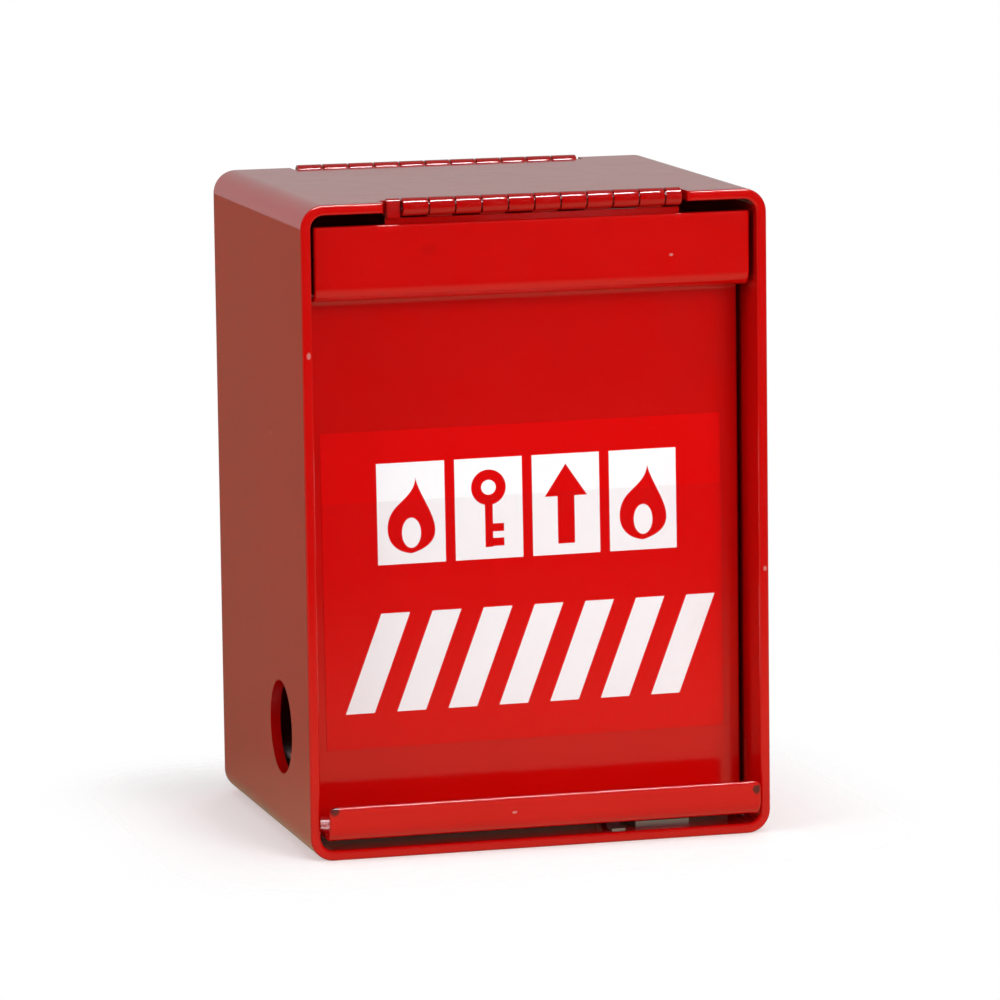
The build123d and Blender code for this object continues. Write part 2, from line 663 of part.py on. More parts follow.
def plug():
    """The part that the key turns, with its keyway and its tail."""
    front = PLATE_FACE - BEZEL_THICK - PLUG_PROUD
    length = PLUG_PROUD + BEZEL_THICK + PLATE_SHEET + LOCK_LENGTH
    with BuildPart() as barrel:
        with BuildSketch(lock_plane(front)):
            Circle(PLUG_RADIUS)
        extrude(amount=-length)
        fillet(barrel.edges().filter_by(GeomType.CIRCLE).sort_by(Axis.Y)[0], 0.4)
        with BuildSketch(lock_plane(front)):
            SlotOverall(KEYWAY_HEIGHT, KEYWAY_WIDTH, rotation=90)
            with Locations((KEYWAY_WIDTH * 0.5, -KEYWAY_HEIGHT * 0.18)):
                Rectangle(KEYWAY_WIDTH, KEYWAY_WIDTH * 0.7)
        extrude(amount=-length * 0.7, mode=Mode.SUBTRACT)
        with BuildSketch(lock_plane(front + length)):
            Circle(TAIL_RADIUS)
        extrude(amount=-(CAM_GAP + CAM_THICK))
        with BuildSketch(lock_plane(front + length + CAM_GAP + CAM_THICK)):
            Circle(SMALL_SCREW_RADIUS + SHANK_FIT)
        extrude(amount=TAIL_THREAD, mode=Mode.SUBTRACT)
    return barrel.part


def cam():
    """Flat cam on the plug's tail, pointing down when the switch is off."""
    face = PLATE_BACK + LOCK_LENGTH + CAM_GAP
    with BuildPart() as arm:
        with BuildSketch(lock_plane(face + CAM_THICK)):
            Circle(CAM_WIDTH * 0.75)
            with Locations((0, -(CAM_REACH - CAM_WIDTH / 2) / 2)):
                SlotOverall(CAM_REACH + CAM_WIDTH / 2, CAM_WIDTH, rotation=90)
            Circle(TAIL_RADIUS + SHANK_FIT, mode=Mode.SUBTRACT)
        extrude(amount=CAM_THICK)
    return arm.part


def cam_screw():
    """Screw that holds the cam on the tail."""
    end = PLATE_BACK + LOCK_LENGTH + CAM_GAP + CAM_THICK
    with BuildPart() as part:
        with BuildSketch(lock_plane(end)):
            Circle(SMALL_SCREW_RADIUS)
        extrude(amount=TAIL_THREAD - THREAD_RUNOUT)
        with BuildSketch(lock_plane(end)):
            Circle(SCREW_HEAD)
        extrude(amount=-SCREW_HEAD_THICK)
        with BuildSketch(lock_plane(end + SCREW_HEAD_THICK)):
            Rectangle(SCREW_HEAD * 1.5, SCREW_HEAD * 0.3)
        extrude(amount=SCREW_HEAD_THICK * 0.5, mode=Mode.SUBTRACT)
    return part.part


def dust_cover():
    """Swing-aside cover over the keyway, hung from a rivet on the bezel."""
    face = PLATE_FACE - BEZEL_THICK - PLUG_PROUD - COVER_GAP
    with BuildPart() as leaf:
        with BuildSketch(lock_plane(face)):
            Circle(COVER_RADIUS)
            with Locations((0, COVER_PIVOT_RISE)):
                Circle(COVER_EYE)
            with Locations((0, COVER_PIVOT_RISE / 2)):
                Rectangle(2 * COVER_EYE, COVER_PIVOT_RISE)
            with Locations((0, COVER_PIVOT_RISE)):
                Circle(COVER_RIVET + PIN_FIT, mode=Mode.SUBTRACT)
        extrude(amount=COVER_SHEET)
    return leaf.part


def cover_rivet():
    """Rivet and spacing collar that the dust cover turns on."""
    collar = PLUG_PROUD + COVER_GAP - TOUCH
    with BuildPart() as part:
        with BuildSketch(lock_plane(PLATE_FACE - BEZEL_THICK)):
            with Locations((0, COVER_PIVOT_RISE)):
                Circle(COVER_RIVET * 1.5)
        extrude(amount=collar)
        with BuildSketch(lock_plane(PLATE_FACE - TOUCH)):
            with Locations((0, COVER_PIVOT_RISE)):
                Circle(COVER_RIVET)
        extrude(amount=BEZEL_THICK + collar + COVER_SHEET + 3 * TOUCH)
        with BuildSketch(lock_plane(PLATE_FACE - BEZEL_THICK - collar - COVER_SHEET - 2 * TOUCH)):
            with Locations((0, COVER_PIVOT_RISE)):
                Circle(COVER_RIVET * 1.6)
        extrude(amount=1.0)
        fillet(part.edges().filter_by(GeomType.CIRCLE).sort_by(Axis.Y)[0], 0.5)
    return part.part


def bracket_screws():
    """Two screws through the bracket's foot and the tray."""
    with BuildPart() as screws:
        for x, y in bracket_screw_places():
            place = (x, y, TRAY_TOP + PLATE_SHEET)
            screw(SCREW_RADIUS, SCREW_LENGTH, SCREW_HEAD, SCREW_HEAD_THICK, place, (0, 0, -1))
    return screws.part


def tray_nuts():
    """Nuts under the tray on the bracket's screws and the earth stud."""
    with BuildPart() as nuts:
        for x, y in [*bracket_screw_places(), STUD_PLACE]:
            place = (x, y, TRAY_TOP - TRAY_SHEET)
            nut(NUT_M4_ACROSS, NUT_M4_THICK, SCREW_RADIUS + SHANK_FIT, place, (0, 0, -1))
    return nuts.part


# ---------------------------------------------------------------- snap switch
def snap_switch():
    """Snap switch body with its three terminals on the far side from the lever."""
    y0 = SWITCH_FRONT
    x0 = SWITCH_FACE
    with BuildPart() as body:
        slab(
            (x0, y0, LOCK_HEIGHT - SWITCH_WIDTH / 2),
            (x0 + SWITCH_HEIGHT, y0 + SWITCH_THICK, LOCK_HEIGHT + SWITCH_WIDTH / 2),
        )
        fillet(body.edges().filter_by(Axis.Y), 0.8)
        with Locations(Plane((SWITCH_X, y0, LOCK_HEIGHT), x_dir=(1, 0, 0), z_dir=(0, -1, 0))):
            with Locations((0, -SWITCH_PITCH / 2), (0, SWITCH_PITCH / 2)):
                Hole(SMALL_SCREW_RADIUS + SHANK_FIT, depth=SWITCH_THICK + 1)
        with Locations(button_plane()):
            Hole(BUTTON_RADIUS + PIN_FIT, depth=BUTTON_LENGTH)
    return body.part


def button_plane():
    """Where the button leaves the switch's face, looking towards the lever."""
    middle = SWITCH_FRONT + SWITCH_THICK / 2
    return Plane((SWITCH_FACE, middle, LOCK_HEIGHT - BUTTON_BELOW), z_dir=(-1, 0, 0))


def switch_button():
    """Button under the lever, which it pushes into the switch."""
    with BuildPart() as button:
        with BuildSketch(button_plane()):
            Circle(BUTTON_RADIUS)
        extrude(amount=BUTTON_PROUD)
        with BuildSketch(button_plane()):
            Circle(BUTTON_RADIUS)
        extrude(amount=-(BUTTON_LENGTH - BUTTON_TRAVEL - 0.4))
        fillet(button.edges().filter_by(GeomType.CIRCLE).sort_by(Axis.X)[0], 0.3)
    return button.part


def snap_switch_tabs():
    """The switch's three solder tabs."""
    with BuildPart() as tabs:
        x0 = SWITCH_FACE + SWITCH_HEIGHT
        middle = SWITCH_FRONT + SWITCH_THICK / 2
        for rise in (-7.5, 0, 7.5):
            z = LOCK_HEIGHT + rise
            slab((x0, middle - 1.4, z - 0.25), (x0 + 4.5, middle + 1.4, z + 0.25))
    return tabs.part


def switch_lever():
    """Spring lever pivoted low on the switch, leaning towards the cam."""
    middle = SWITCH_FRONT + SWITCH_THICK / 2
    x, z = lever_pivot()
    lean = radians(LEVER_LEAN)
    with BuildPart() as strip:
        with BuildSketch(Plane.XZ.offset(-middle - LEVER_WIDTH / 2)):
            with BuildLine():
                Line((x, z), (x - LEVER_LENGTH * sin(lean), z + LEVER_LENGTH * cos(lean)))
            trace(line_width=LEVER_SHEET)
            with Locations((x, z)):
                Circle(LEVER_SHEET)
        extrude(amount=LEVER_WIDTH)
    return strip.part


def lever_pivot():
    """X and Z of the lever's hinge line, just off the switch's face."""
    return SWITCH_FACE - LEVER_STANDOFF, LOCK_HEIGHT - SWITCH_WIDTH * 0.4


def switch_spacers():
    """Two tubes that carry the switch behind the plate."""
    with BuildPart() as tubes:
        for z in spacer_places():
            with BuildSketch(Plane((SWITCH_X, PLATE_BACK, z), z_dir=(0, 1, 0))):
                Circle(SPACER_RADIUS)
                Circle(SMALL_SCREW_RADIUS + SHANK_FIT, mode=Mode.SUBTRACT)
            extrude(amount=SWITCH_FRONT - PLATE_BACK)
    return tubes.part


def switch_screws():
    """Two long screws through the plate, the spacers and the switch."""
    length = SWITCH_FRONT + SWITCH_THICK + NUT_M3_THICK + 1.5 - PLATE_FACE
    with BuildPart() as screws:
        for z in spacer_places():
            place = (SWITCH_X, PLATE_FACE, z)
            screw(SMALL_SCREW_RADIUS, length, SMALL_HEAD, SMALL_HEAD_THICK, place, (0, 1, 0))
    return screws.part


def switch_nuts():
    """Nuts on the switch's screws."""
    with BuildPart() as nuts:
        for z in spacer_places():
            place = (SWITCH_X, SWITCH_FRONT + SWITCH_THICK, z)
            nut(NUT_M3_ACROSS, NUT_M3_THICK, SMALL_SCREW_RADIUS + SHANK_FIT, place, (0, 1, 0))
    return nuts.part


# ---------------------------------------------------------------- terminals and earth
def terminal_screw_places():
    """Where the terminal block is screwed to the tray, seen from above."""
    reach = (TERMINALS + 1.25) * TERMINAL_PITCH / 2
    return [(-reach, TERMINAL_Y), (reach, TERMINAL_Y)]


def terminal_block():
    """Moulded block with a wire chamber and a clamp-screw well each side of every way."""
    half = (TERMINALS + 2.4) * TERMINAL_PITCH / 2
    with BuildPart() as block:
        slab(
            (-half, TERMINAL_Y - TERMINAL_DEPTH / 2, TRAY_TOP),
            (half, TERMINAL_Y + TERMINAL_DEPTH / 2, TRAY_TOP + TERMINAL_HEIGHT),
        )
        inner = TERMINALS * TERMINAL_PITCH / 2
        for side in (1, -1):
            a, b = sorted((side * inner, side * (half + 1)))
            cut_slab(
                (a, TERMINAL_Y - TERMINAL_DEPTH, TRAY_TOP + 4),
                (b, TERMINAL_Y + TERMINAL_DEPTH, TRAY_TOP + TERMINAL_HEIGHT + 1),
            )
        with Locations(Plane.XY.offset(TRAY_TOP + 4)):
            with Locations(*terminal_screw_places()):
                Hole(SMALL_SCREW_RADIUS + SHANK_FIT, depth=5)
        with Locations(Plane.XY.offset(TRAY_TOP + TERMINAL_HEIGHT)):
            with Locations(*clamp_places()):
                Hole(CLAMP_WELL, depth=TERMINAL_HEIGHT - 3)
        for x, y in clamp_places():
            way = 1 if y > TERMINAL_Y else -1
            mouth = (x, TERMINAL_Y + way * TERMINAL_DEPTH / 2, TRAY_TOP + 5)
            with BuildSketch(Plane(mouth, z_dir=(0, way, 0))):
                Rectangle(4.4, 4.0)
            extrude(amount=-4.5, mode=Mode.SUBTRACT)
    return block.part


def clamp_places():
    """The clamp screws of the terminal block, seen from above."""
    columns = [(i - (TERMINALS - 1) / 2) * TERMINAL_PITCH for i in range(TERMINALS)]
    return [(x, TERMINAL_Y + side * TERMINAL_DEPTH / 4) for x in columns for side in (-1, 1)]


def clamp_screws():
    """The clamp screws, one in each well."""
    with BuildPart() as screws:
        for x, y in clamp_places():
            base = TRAY_TOP + 7.5
            with BuildSketch(Plane((x, y, base))):
                Circle(CLAMP_WELL - 0.2)
            extrude(amount=2.5)
            with BuildSketch(Plane((x, y, base + 2.5))):
                Rectangle(2 * CLAMP_WELL, 0.7)
            extrude(amount=-1.0, mode=Mode.SUBTRACT)
    return screws.part


def terminal_screws():
    """Two screws that hold the terminal block to the tray."""
    with BuildPart() as screws:
        for x, y in terminal_screw_places():
            place = (x, y, TRAY_TOP + 4)
            screw(SMALL_SCREW_RADIUS, SCREW_LENGTH, SMALL_HEAD, SMALL_HEAD_THICK, place, (0, 0, -1))
    return screws.part


def earth_stud():
    """Earth stud through the tray, nut below and nut above."""
    x, y = STUD_PLACE
    with BuildPart() as stud:
        with BuildSketch(Plane((x, y, TRAY_TOP - TRAY_SHEET - NUT_M4_THICK - 1))):
            Circle(SCREW_RADIUS)
        extrude(amount=STUD_LENGTH)
        chamfer(stud.edges().filter_by(GeomType.CIRCLE), 0.4)
    return stud.part


def earth_nut():
    """Nut and washer on top of the tray on the earth stud."""
    x, y = STUD_PLACE
    with BuildPart() as part:
        with BuildSketch(Plane((x, y, TRAY_TOP))):
            Circle(NUT_M4_ACROSS * 0.68)
            Circle(SCREW_RADIUS + SHANK_FIT, mode=Mode.SUBTRACT)
        extrude(amount=0.8)
        nut(NUT_M4_ACROSS, NUT_M4_THICK, SCREW_RADIUS + SHANK_FIT, (x, y, TRAY_TOP + 0.8), (0, 0, 1))
    return part.part


# ---------------------------------------------------------------- build
save(tube_body(), "tube_body")

for name, rear in (("front", False), ("rear", True)):
    crimped = not rear
    save(hinge_leaf(fixed=True, crimped=crimped), f"{name}_hinge_fixed_leaf", rear)
    save(hinge_leaf(fixed=False, crimped=crimped), f"{name}_hinge_moving_leaf", rear)
    save(hinge_pin(crimped), f"{name}_hinge_pin", rear)
    save(door(), f"{name}_door", rear)
    save(bumpers(), f"{name}_bumpers", rear)
    save(catch_spring(), f"{name}_catch_spring", rear)

save(label_base(), "label_base")
save(label_overlay(), "label_overlay")
save(label_print(), "label_print")

save(tray(), "tray")
save(tray_screws(), "tray_screws")
save(tray_nuts(), "tray_nuts")
save(bracket(), "switch_bracket")
save(bracket_screws(), "bracket_screws")
save(lock_body(), "lock_body")
save(lock_nut(), "lock_nut")
save(plug(), "lock_plug")
save(cam(), "lock_cam")
save(cam_screw(), "cam_screw")
save(dust_cover(), "dust_cover")
save(cover_rivet(), "cover_rivet")
save(snap_switch(), "snap_switch")
save(snap_switch_tabs(), "snap_switch_tabs")
save(switch_button(), "switch_button")
save(switch_lever(), "switch_lever")
save(switch_spacers(), "switch_spacers")
save(switch_screws(), "switch_screws")
save(switch_nuts(), "switch_nuts")
save(terminal_block(), "terminal_block")
save(clamp_screws(), "clamp_screws")
save(terminal_screws(), "terminal_screws")
save(earth_stud(), "earth_stud")
save(earth_nut(), "earth_nut")
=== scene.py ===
"""Looks of the emergency access box: paint, plating, hinge knuckles, fastenings, label and studio."""
import json
import logging
import math
from dataclasses import dataclass
from enum import Enum

import bmesh
import bpy
from mathutils import Matrix, Vector

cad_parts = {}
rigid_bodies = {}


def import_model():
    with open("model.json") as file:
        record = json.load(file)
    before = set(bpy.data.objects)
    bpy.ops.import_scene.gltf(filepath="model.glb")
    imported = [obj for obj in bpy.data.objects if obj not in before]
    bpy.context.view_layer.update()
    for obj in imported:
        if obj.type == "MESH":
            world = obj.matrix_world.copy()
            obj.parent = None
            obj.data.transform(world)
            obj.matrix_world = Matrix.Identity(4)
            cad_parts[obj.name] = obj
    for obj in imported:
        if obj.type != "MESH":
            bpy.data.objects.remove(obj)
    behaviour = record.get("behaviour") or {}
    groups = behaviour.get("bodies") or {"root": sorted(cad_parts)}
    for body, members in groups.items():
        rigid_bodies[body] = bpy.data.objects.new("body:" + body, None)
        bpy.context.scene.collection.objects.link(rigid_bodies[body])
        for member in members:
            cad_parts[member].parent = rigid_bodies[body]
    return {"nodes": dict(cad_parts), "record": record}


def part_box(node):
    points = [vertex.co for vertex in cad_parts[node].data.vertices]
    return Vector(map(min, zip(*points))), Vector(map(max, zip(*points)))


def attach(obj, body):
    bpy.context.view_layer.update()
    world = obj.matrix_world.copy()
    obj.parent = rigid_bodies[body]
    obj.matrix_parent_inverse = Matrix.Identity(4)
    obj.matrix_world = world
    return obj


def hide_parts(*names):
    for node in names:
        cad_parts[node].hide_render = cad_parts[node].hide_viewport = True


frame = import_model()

LOG = logging.getLogger("access_box")
MM = 0.001
CREASE = math.radians(40)

Colour = tuple[float, float, float]
Socket = bpy.types.NodeSocket


# ---------------------------------------------------------------- node wiring
class Wiring:
    """A node tree that is being wired."""

    def __init__(self, tree: bpy.types.NodeTree) -> None:
        """Starts on an empty tree.

        Args:
            tree: the tree to fill; its nodes are removed first.
        """
        self.tree = tree
        tree.nodes.clear()

    def add(self, kind: str, inputs: dict | None = None, **settings: object) -> bpy.types.Node:
        """Adds a node.

        Args:
            kind: the node's type name.
            inputs: input socket (name or number) to a value, or to a socket to link from.
            settings: the node's own properties.

        Returns:
            The new node.
        """
        node = self.tree.nodes.new(kind)
        for name, value in settings.items():
            setattr(node, name, value)
        for key, value in (inputs or {}).items():
            self.feed(node.inputs[key], value)
        return node

    def feed(self, socket: Socket, value: object) -> None:
        """Links a socket to an output, or sets its own value.

        Args:
            socket: the input to fill.
            value: an output socket, or a plain value.
        """
        if isinstance(value, Socket):
            self.tree.links.new(value, socket)
        else:
            socket.default_value = value


# ---------------------------------------------------------------- finishes
@dataclass(frozen=True)
class Finish:
    """A surface finish, made once as a material."""

    name: str
    slot: str
    colour: Colour
    roughness: float = 0.4

    def material(self) -> bpy.types.Material:
        """The finish as a material, made on first use.

        Returns:
            The material.
        """
        made = bpy.data.materials.get(self.name)
        if made:
            return made
        made = bpy.data.materials.new(self.name)
        made.use_nodes = True
        made.diffuse_color = (*self.colour, 1)
        wiring = Wiring(made.node_tree)
        shader = wiring.add("ShaderNodeBsdfPrincipled")
        shader.inputs["Base Color"].default_value = (*self.colour, 1)
        shader.inputs["Roughness"].default_value = self.roughness
        output = wiring.add("ShaderNodeOutputMaterial", {"Surface": shader.outputs["BSDF"]})
        output.is_active_output = True
        place = wiring.add("ShaderNodeTexCoord").outputs["Object"]
        self.dress(wiring, shader, place)
        return made

    def dress(self, wiring: Wiring, shader: bpy.types.Node, place: Socket) -> None:
        """Adds the finish's own detail.

        Args:
            wiring: the material's tree.
            shader: its main shader.
            place: object coordinates, in metres.
        """

    def grain(self, wiring: Wiring, place: Socket, scale: float,
              stretch: Colour = (1, 1, 1), detail: float = 2.0) -> Socket:
        """A noise over the piece.

        Args:
            wiring: the material's tree.
            place: object coordinates.
            scale: spots in a metre.
            stretch: how much the scale grows along each axis.
            detail: octaves.

        Returns:
            The noise's value, from 0 to 1.
        """
        mapped = wiring.add("ShaderNodeMapping", {"Vector": place, "Scale": stretch})
        inputs = {"Vector": mapped.outputs[0], "Scale": scale, "Detail": detail}
        noise = wiring.add("ShaderNodeTexNoise", inputs)
        return noise.outputs["Fac"]

    def spread(self, wiring: Wiring, value: Socket, low: float, high: float) -> Socket:
        """Turns a noise into a range.

        Args:
            wiring: the material's tree.
            value: the noise.
            low: result where the noise is about 0.3.
            high: result where it is about 0.7.

        Returns:
            The result's socket.
        """
        inputs = {"Value": value, "From Min": 0.3, "From Max": 0.7, "To Min": low, "To Max": high}
        return wiring.add("ShaderNodeMapRange", inputs).outputs[0]

    def shades(self, wiring: Wiring, value: Socket, dark: Colour, light: Colour) -> Socket:
        """Blends two colours by a noise.

        Args:
            wiring: the material's tree.
            value: the noise.
            dark: colour where it is low.
            light: colour where it is high.

        Returns:
            The blended colour.
        """
        share = self.spread(wiring, value, 0.0, 1.0)
        mix = wiring.add("ShaderNodeMix", data_type="RGBA")
        for number, part in ((0, share), (6, (*dark, 1)), (7, (*light, 1))):
            wiring.feed(mix.inputs[number], part)
        return mix.outputs[2]

    def relief(self, wiring: Wiring, height: Socket, distance: float,
               strength: float = 1.0, under: Socket | None = None) -> Socket:
        """Bump from a height.

        Args:
            wiring: the material's tree.
            height: the height's socket.
            distance: the height of 1, in metres.
            strength: share of the effect.
            under: a normal that this adds to.

        Returns:
            The bumped normal.
        """
        inputs = {"Height": height, "Distance": distance, "Strength": strength}
        if under:
            inputs["Normal"] = under
        return wiring.add("ShaderNodeBump", inputs).outputs[0]


def scaled(colour: Colour, share: float) -> Colour:
    """A colour made darker or lighter by a share."""
    return tuple(min(1.0, part * share) for part in colour)


@dataclass(frozen=True)
class Ramp:
    """A range of values, and the range that it is turned into."""

    start: float
    end: float
    low: float
    high: float

    def over(self, wiring: Wiring, value: Socket) -> Socket:
        """A value turned into the second range.

        Args:
            wiring: the tree.
            value: the value to turn.

        Returns:
            The turned value.
        """
        inputs = {"Value": value, "From Min": self.start, "From Max": self.end,
                  "To Min": self.low, "To Max": self.high}
        return wiring.add("ShaderNodeMapRange", inputs).outputs[0]


@dataclass(frozen=True)
class Mark:
    """A small mark in the paint: a rack mark, a chip or a spot weld that shows through."""

    at: Colour
    size: Colour
    colour: Colour
    strength: float = 1.0
    edge: tuple[float, float] = (1.25, 1.6)
    ragged: float = 900.0

    def mask(self, wiring: Wiring, place: Socket) -> Socket:
        """Where the mark shows.

        Args:
            wiring: the material's tree.
            place: object coordinates, in metres.

        Returns:
            The mark's share, 0 outside it.
        """
        noise = wiring.add("ShaderNodeTexNoise", {"Vector": place, "Scale": self.ragged, "Detail": 2.0})
        middle = tuple(part * MM for part in self.at)
        centred = wiring.add("ShaderNodeVectorMath", {0: place, 1: middle}, operation="SUBTRACT")
        radii = tuple(part * MM for part in self.size)
        grown = wiring.add("ShaderNodeVectorMath", {0: centred.outputs[0], 1: radii}, operation="DIVIDE")
        reach = wiring.add("ShaderNodeVectorMath", {0: grown.outputs[0]}, operation="LENGTH")
        terms = {0: noise.outputs["Fac"], 1: reach.outputs["Value"]}
        rough = wiring.add("ShaderNodeMath", terms, operation="ADD")
        return Ramp(*self.edge, self.strength, 0.0).over(wiring, rough.outputs[0])


BARE = (0.035, 0.012, 0.010)
CHIP = (0.62, 0.30, 0.27)
DOOR_MARKS = (
    Mark((-50.8, -50.2, 12.7), (1.1, 3.0, 1.5), BARE, 0.85),
    Mark((50.9, -50.2, 11.2), (0.9, 3.0, 1.2), BARE, 0.85),
    Mark((-25.0, -44.0, 141.0), (2.0, 3.0, 1.4), (0.40, 0.003, 0.002), 0.35),
    Mark((33.0, -44.0, 137.5), (0.5, 3.0, 0.35), CHIP, 0.7),
    Mark((-8.0, -50.2, 9.6), (0.6, 3.0, 0.3), CHIP, 0.6),
    Mark((22.5, -50.2, 14.6), (0.35, 3.0, 0.35), CHIP, 0.7),
)
TUBE_MARKS = (
    Mark((-54.2, -46.2, 118.0), (0.5, 1.5, 0.9), CHIP, 0.55),
    Mark((54.6, -46.2, 63.0), (0.4, 1.5, 0.6), CHIP, 0.6),
    Mark((-55.6, -12.0, 96.0), (1.5, 0.5, 0.4), CHIP, 0.45),
    Mark((-55.6, 21.0, 44.0), (1.5, 0.4, 0.6), CHIP, 0.4),
)


@dataclass(frozen=True)
class GlossPaint(Finish):
    """Red gloss paint: fine orange peel, slightly cloudy colour, and marks where it was hung or knocked."""

    roughness: float = 0.13
    peel: float = 0.000006
    wave: float = 0.000008
    coat: float = 0.5
    marks: tuple["Mark", ...] = ()

    def dress(self, wiring: Wiring, shader: bpy.types.Node, place: Socket) -> None:
        """Adds colour clouds, orange peel and waves."""
        clouds = self.grain(wiring, place, 35, detail=4)
        paint = self.shades(wiring, clouds, scaled(self.colour, 0.94), self.colour)
        for mark in self.marks:
            share = mark.mask(wiring, place)
            mix = wiring.add("ShaderNodeMix", data_type="RGBA")
            for number, part in ((0, share), (6, paint), (7, (*mark.colour, 1))):
                wiring.feed(mix.inputs[number], part)
            paint = mix.outputs[2]
        wiring.feed(shader.inputs["Base Color"], paint)
        patches = self.grain(wiring, place, 160)
        uneven = self.spread(wiring, patches, self.roughness * 0.8, self.roughness * 1.2)
        wiring.feed(shader.inputs["Roughness"], uneven)
        waves = self.relief(wiring, self.grain(wiring, place, 140), self.wave)
        skin = self.relief(wiring, self.grain(wiring, place, 750), self.peel, under=waves)
        wiring.feed(shader.inputs["Normal"], skin)
        wiring.feed(shader.inputs["Coat Normal"], skin)
        shader.inputs["Coat Weight"].default_value = self.coat
        shader.inputs["Coat Roughness"].default_value = 0.04
        shader.inputs["Coat IOR"].default_value = 1.5


@dataclass(frozen=True)
class Vinyl(Finish):
    """Smooth vinyl film with a faint ripple where it was rubbed down."""

    roughness: float = 0.1
    ripple: float = 0.00001

    def dress(self, wiring: Wiring, shader: bpy.types.Node, place: Socket) -> None:
        """Adds slight shade and ripple."""
        clouds = self.grain(wiring, place, 22, detail=3)
        shade = self.shades(wiring, clouds, scaled(self.colour, 0.95), self.colour)
        wiring.feed(shader.inputs["Base Color"], shade)
        rubbed = self.relief(wiring, self.grain(wiring, place, 240), self.ripple)
        wiring.feed(shader.inputs["Normal"], rubbed)


@dataclass(frozen=True)
class ClearFilm(Finish):
    """Clear gloss film: nearly see-through, with a slight ripple."""

    roughness: float = 0.08
    cover: float = 0.03

    def dress(self, wiring: Wiring, shader: bpy.types.Node, place: Socket) -> None:
        """Adds the see-through share and a ripple."""
        shader.inputs["Alpha"].default_value = self.cover
        wiring.feed(shader.inputs["Normal"], self.relief(wiring, self.grain(wiring, place, 150), 0.00002))


@dataclass(frozen=True)
class Plating(Finish):
    """Plated or bare metal with fine drawing lines along one axis."""

    lines: Colour = (40, 1, 40)
    roughness: float = 0.32
    mottle: float = 0.88

    def dress(self, wiring: Wiring, shader: bpy.types.Node, place: Socket) -> None:
        """Adds mottled colour, brushed lines and uneven gloss."""
        shader.inputs["Metallic"].default_value = 1.0
        clouds = self.grain(wiring, place, 90, detail=5)
        shade = self.shades(wiring, clouds, scaled(self.colour, self.mottle), self.colour)
        wiring.feed(shader.inputs["Base Color"], shade)
        brushed = self.grain(wiring, place, 60, self.lines, detail=3)
        uneven = self.spread(wiring, brushed, self.roughness * 0.7, self.roughness * 1.3)
        wiring.feed(shader.inputs["Roughness"], uneven)
        wiring.feed(shader.inputs["Normal"], self.relief(wiring, brushed, 0.00001, 0.4))


@dataclass(frozen=True)
class Moulded(Finish):
    """Moulded plastic or rubber with a fine spark texture."""

    roughness: float = 0.5
    texture: float = 0.00002

    def dress(self, wiring: Wiring, shader: bpy.types.Node, place: Socket) -> None:
        """Adds fine texture and slight shade."""
        clouds = self.grain(wiring, place, 120, detail=3)
        shade = self.shades(wiring, clouds, scaled(self.colour, 0.86), self.colour)
        wiring.feed(shader.inputs["Base Color"], shade)
        fine = self.grain(wiring, place, 1800)
        wiring.feed(shader.inputs["Normal"], self.relief(wiring, fine, self.texture))


RED_PAINT = (0.57, 0.0018, 0.0012)
# Painted shade: the hinges carry the same red paint as the tube, made darker so that the knuckles look
# shaded.
HINGE_RED_WITH_PAINTED_SHADE = (0.42, 0.0014, 0.0010)


class Coats(Enum):
    """Every finish on the box."""

    TUBE = GlossPaint("tube_paint", "red_paint", RED_PAINT, marks=TUBE_MARKS)
    DOOR = GlossPaint("door_paint", "red_paint_doors", RED_PAINT, roughness=0.12, marks=DOOR_MARKS)
    # Painted shade: the tube's red, darkened so that the hinge knuckles look shaded.
    HINGE = GlossPaint("hinge_paint", "red_paint_hinges", HINGE_RED_WITH_PAINTED_SHADE, roughness=0.13)
    PIN = Plating("pin_steel", "hinge_pins", (0.45, 0.45, 0.46))
    LABEL = Vinyl("label_vinyl", "label_red", (0.70, 0.0012, 0.0012))
    CLEAR = ClearFilm("label_film", "label_clear", (0.45, 0.02, 0.02))
    PRINT = Vinyl("label_print_white", "label_white", (0.98, 0.98, 0.99), roughness=0.2)
    ZINC = Plating("zinc_sheet", "zinc_sheet", (0.55, 0.60, 0.68), lines=(1, 40, 40))
    FASTENER = Plating("zinc_fastener", "zinc_fasteners", (0.62, 0.63, 0.66), lines=(20, 20, 1))
    SPRING = Plating("spring_steel", "spring_steel", (0.66, 0.67, 0.70), roughness=0.25)
    RUBBER = Moulded("rubber_pad", "rubber_pads", (0.03, 0.03, 0.03), roughness=0.7)
    CHROME = Plating("lock_chrome", "lock_chrome", (0.75, 0.75, 0.77), lines=(1, 60, 60), roughness=0.18,
                     mottle=0.96)
    BRASS = Plating("turned_brass", "brass_parts", (0.70, 0.50, 0.22), roughness=0.28)
    BLACK = Moulded("switch_black", "switch_black", (0.03, 0.03, 0.033))
    BUTTON = Moulded("button_red", "button_red", (0.5, 0.03, 0.02))
    SPACER = Plating("spacer_aluminium", "spacers_aluminium", (0.74, 0.75, 0.76), lines=(60, 1, 60))
    IVORY = Moulded("terminal_ivory", "terminal_ivory", (0.72, 0.68, 0.55))


def dress_node(node: str, coat: Coats) -> None:
    """Gives a CAD node its finish.

    Args:
        node: the node's name.
        coat: the finish.
    """
    piece = frame["nodes"][node]
    piece.data.materials.clear()
    piece.data.materials.append(coat.value.material())
    LOG.info("dressed %s", node)


def body_of_node(node: str) -> str:
    """The name of the body that a CAD node rides on.

    Args:
        node: the node's name.

    Returns:
        The body's name.
    """
    return next(body for body, held in frame["record"]["behaviour"]["bodies"].items() if node in held)


def settle(piece: bpy.types.Object, node: str) -> None:
    """Makes a new piece stand for a CAD node.

    Args:
        piece: the new piece, in place.
        node: the node that it replaces.
    """
    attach(piece, body_of_node(node))
    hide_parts(node)
    LOG.info("built %s for %s", piece.name, node)


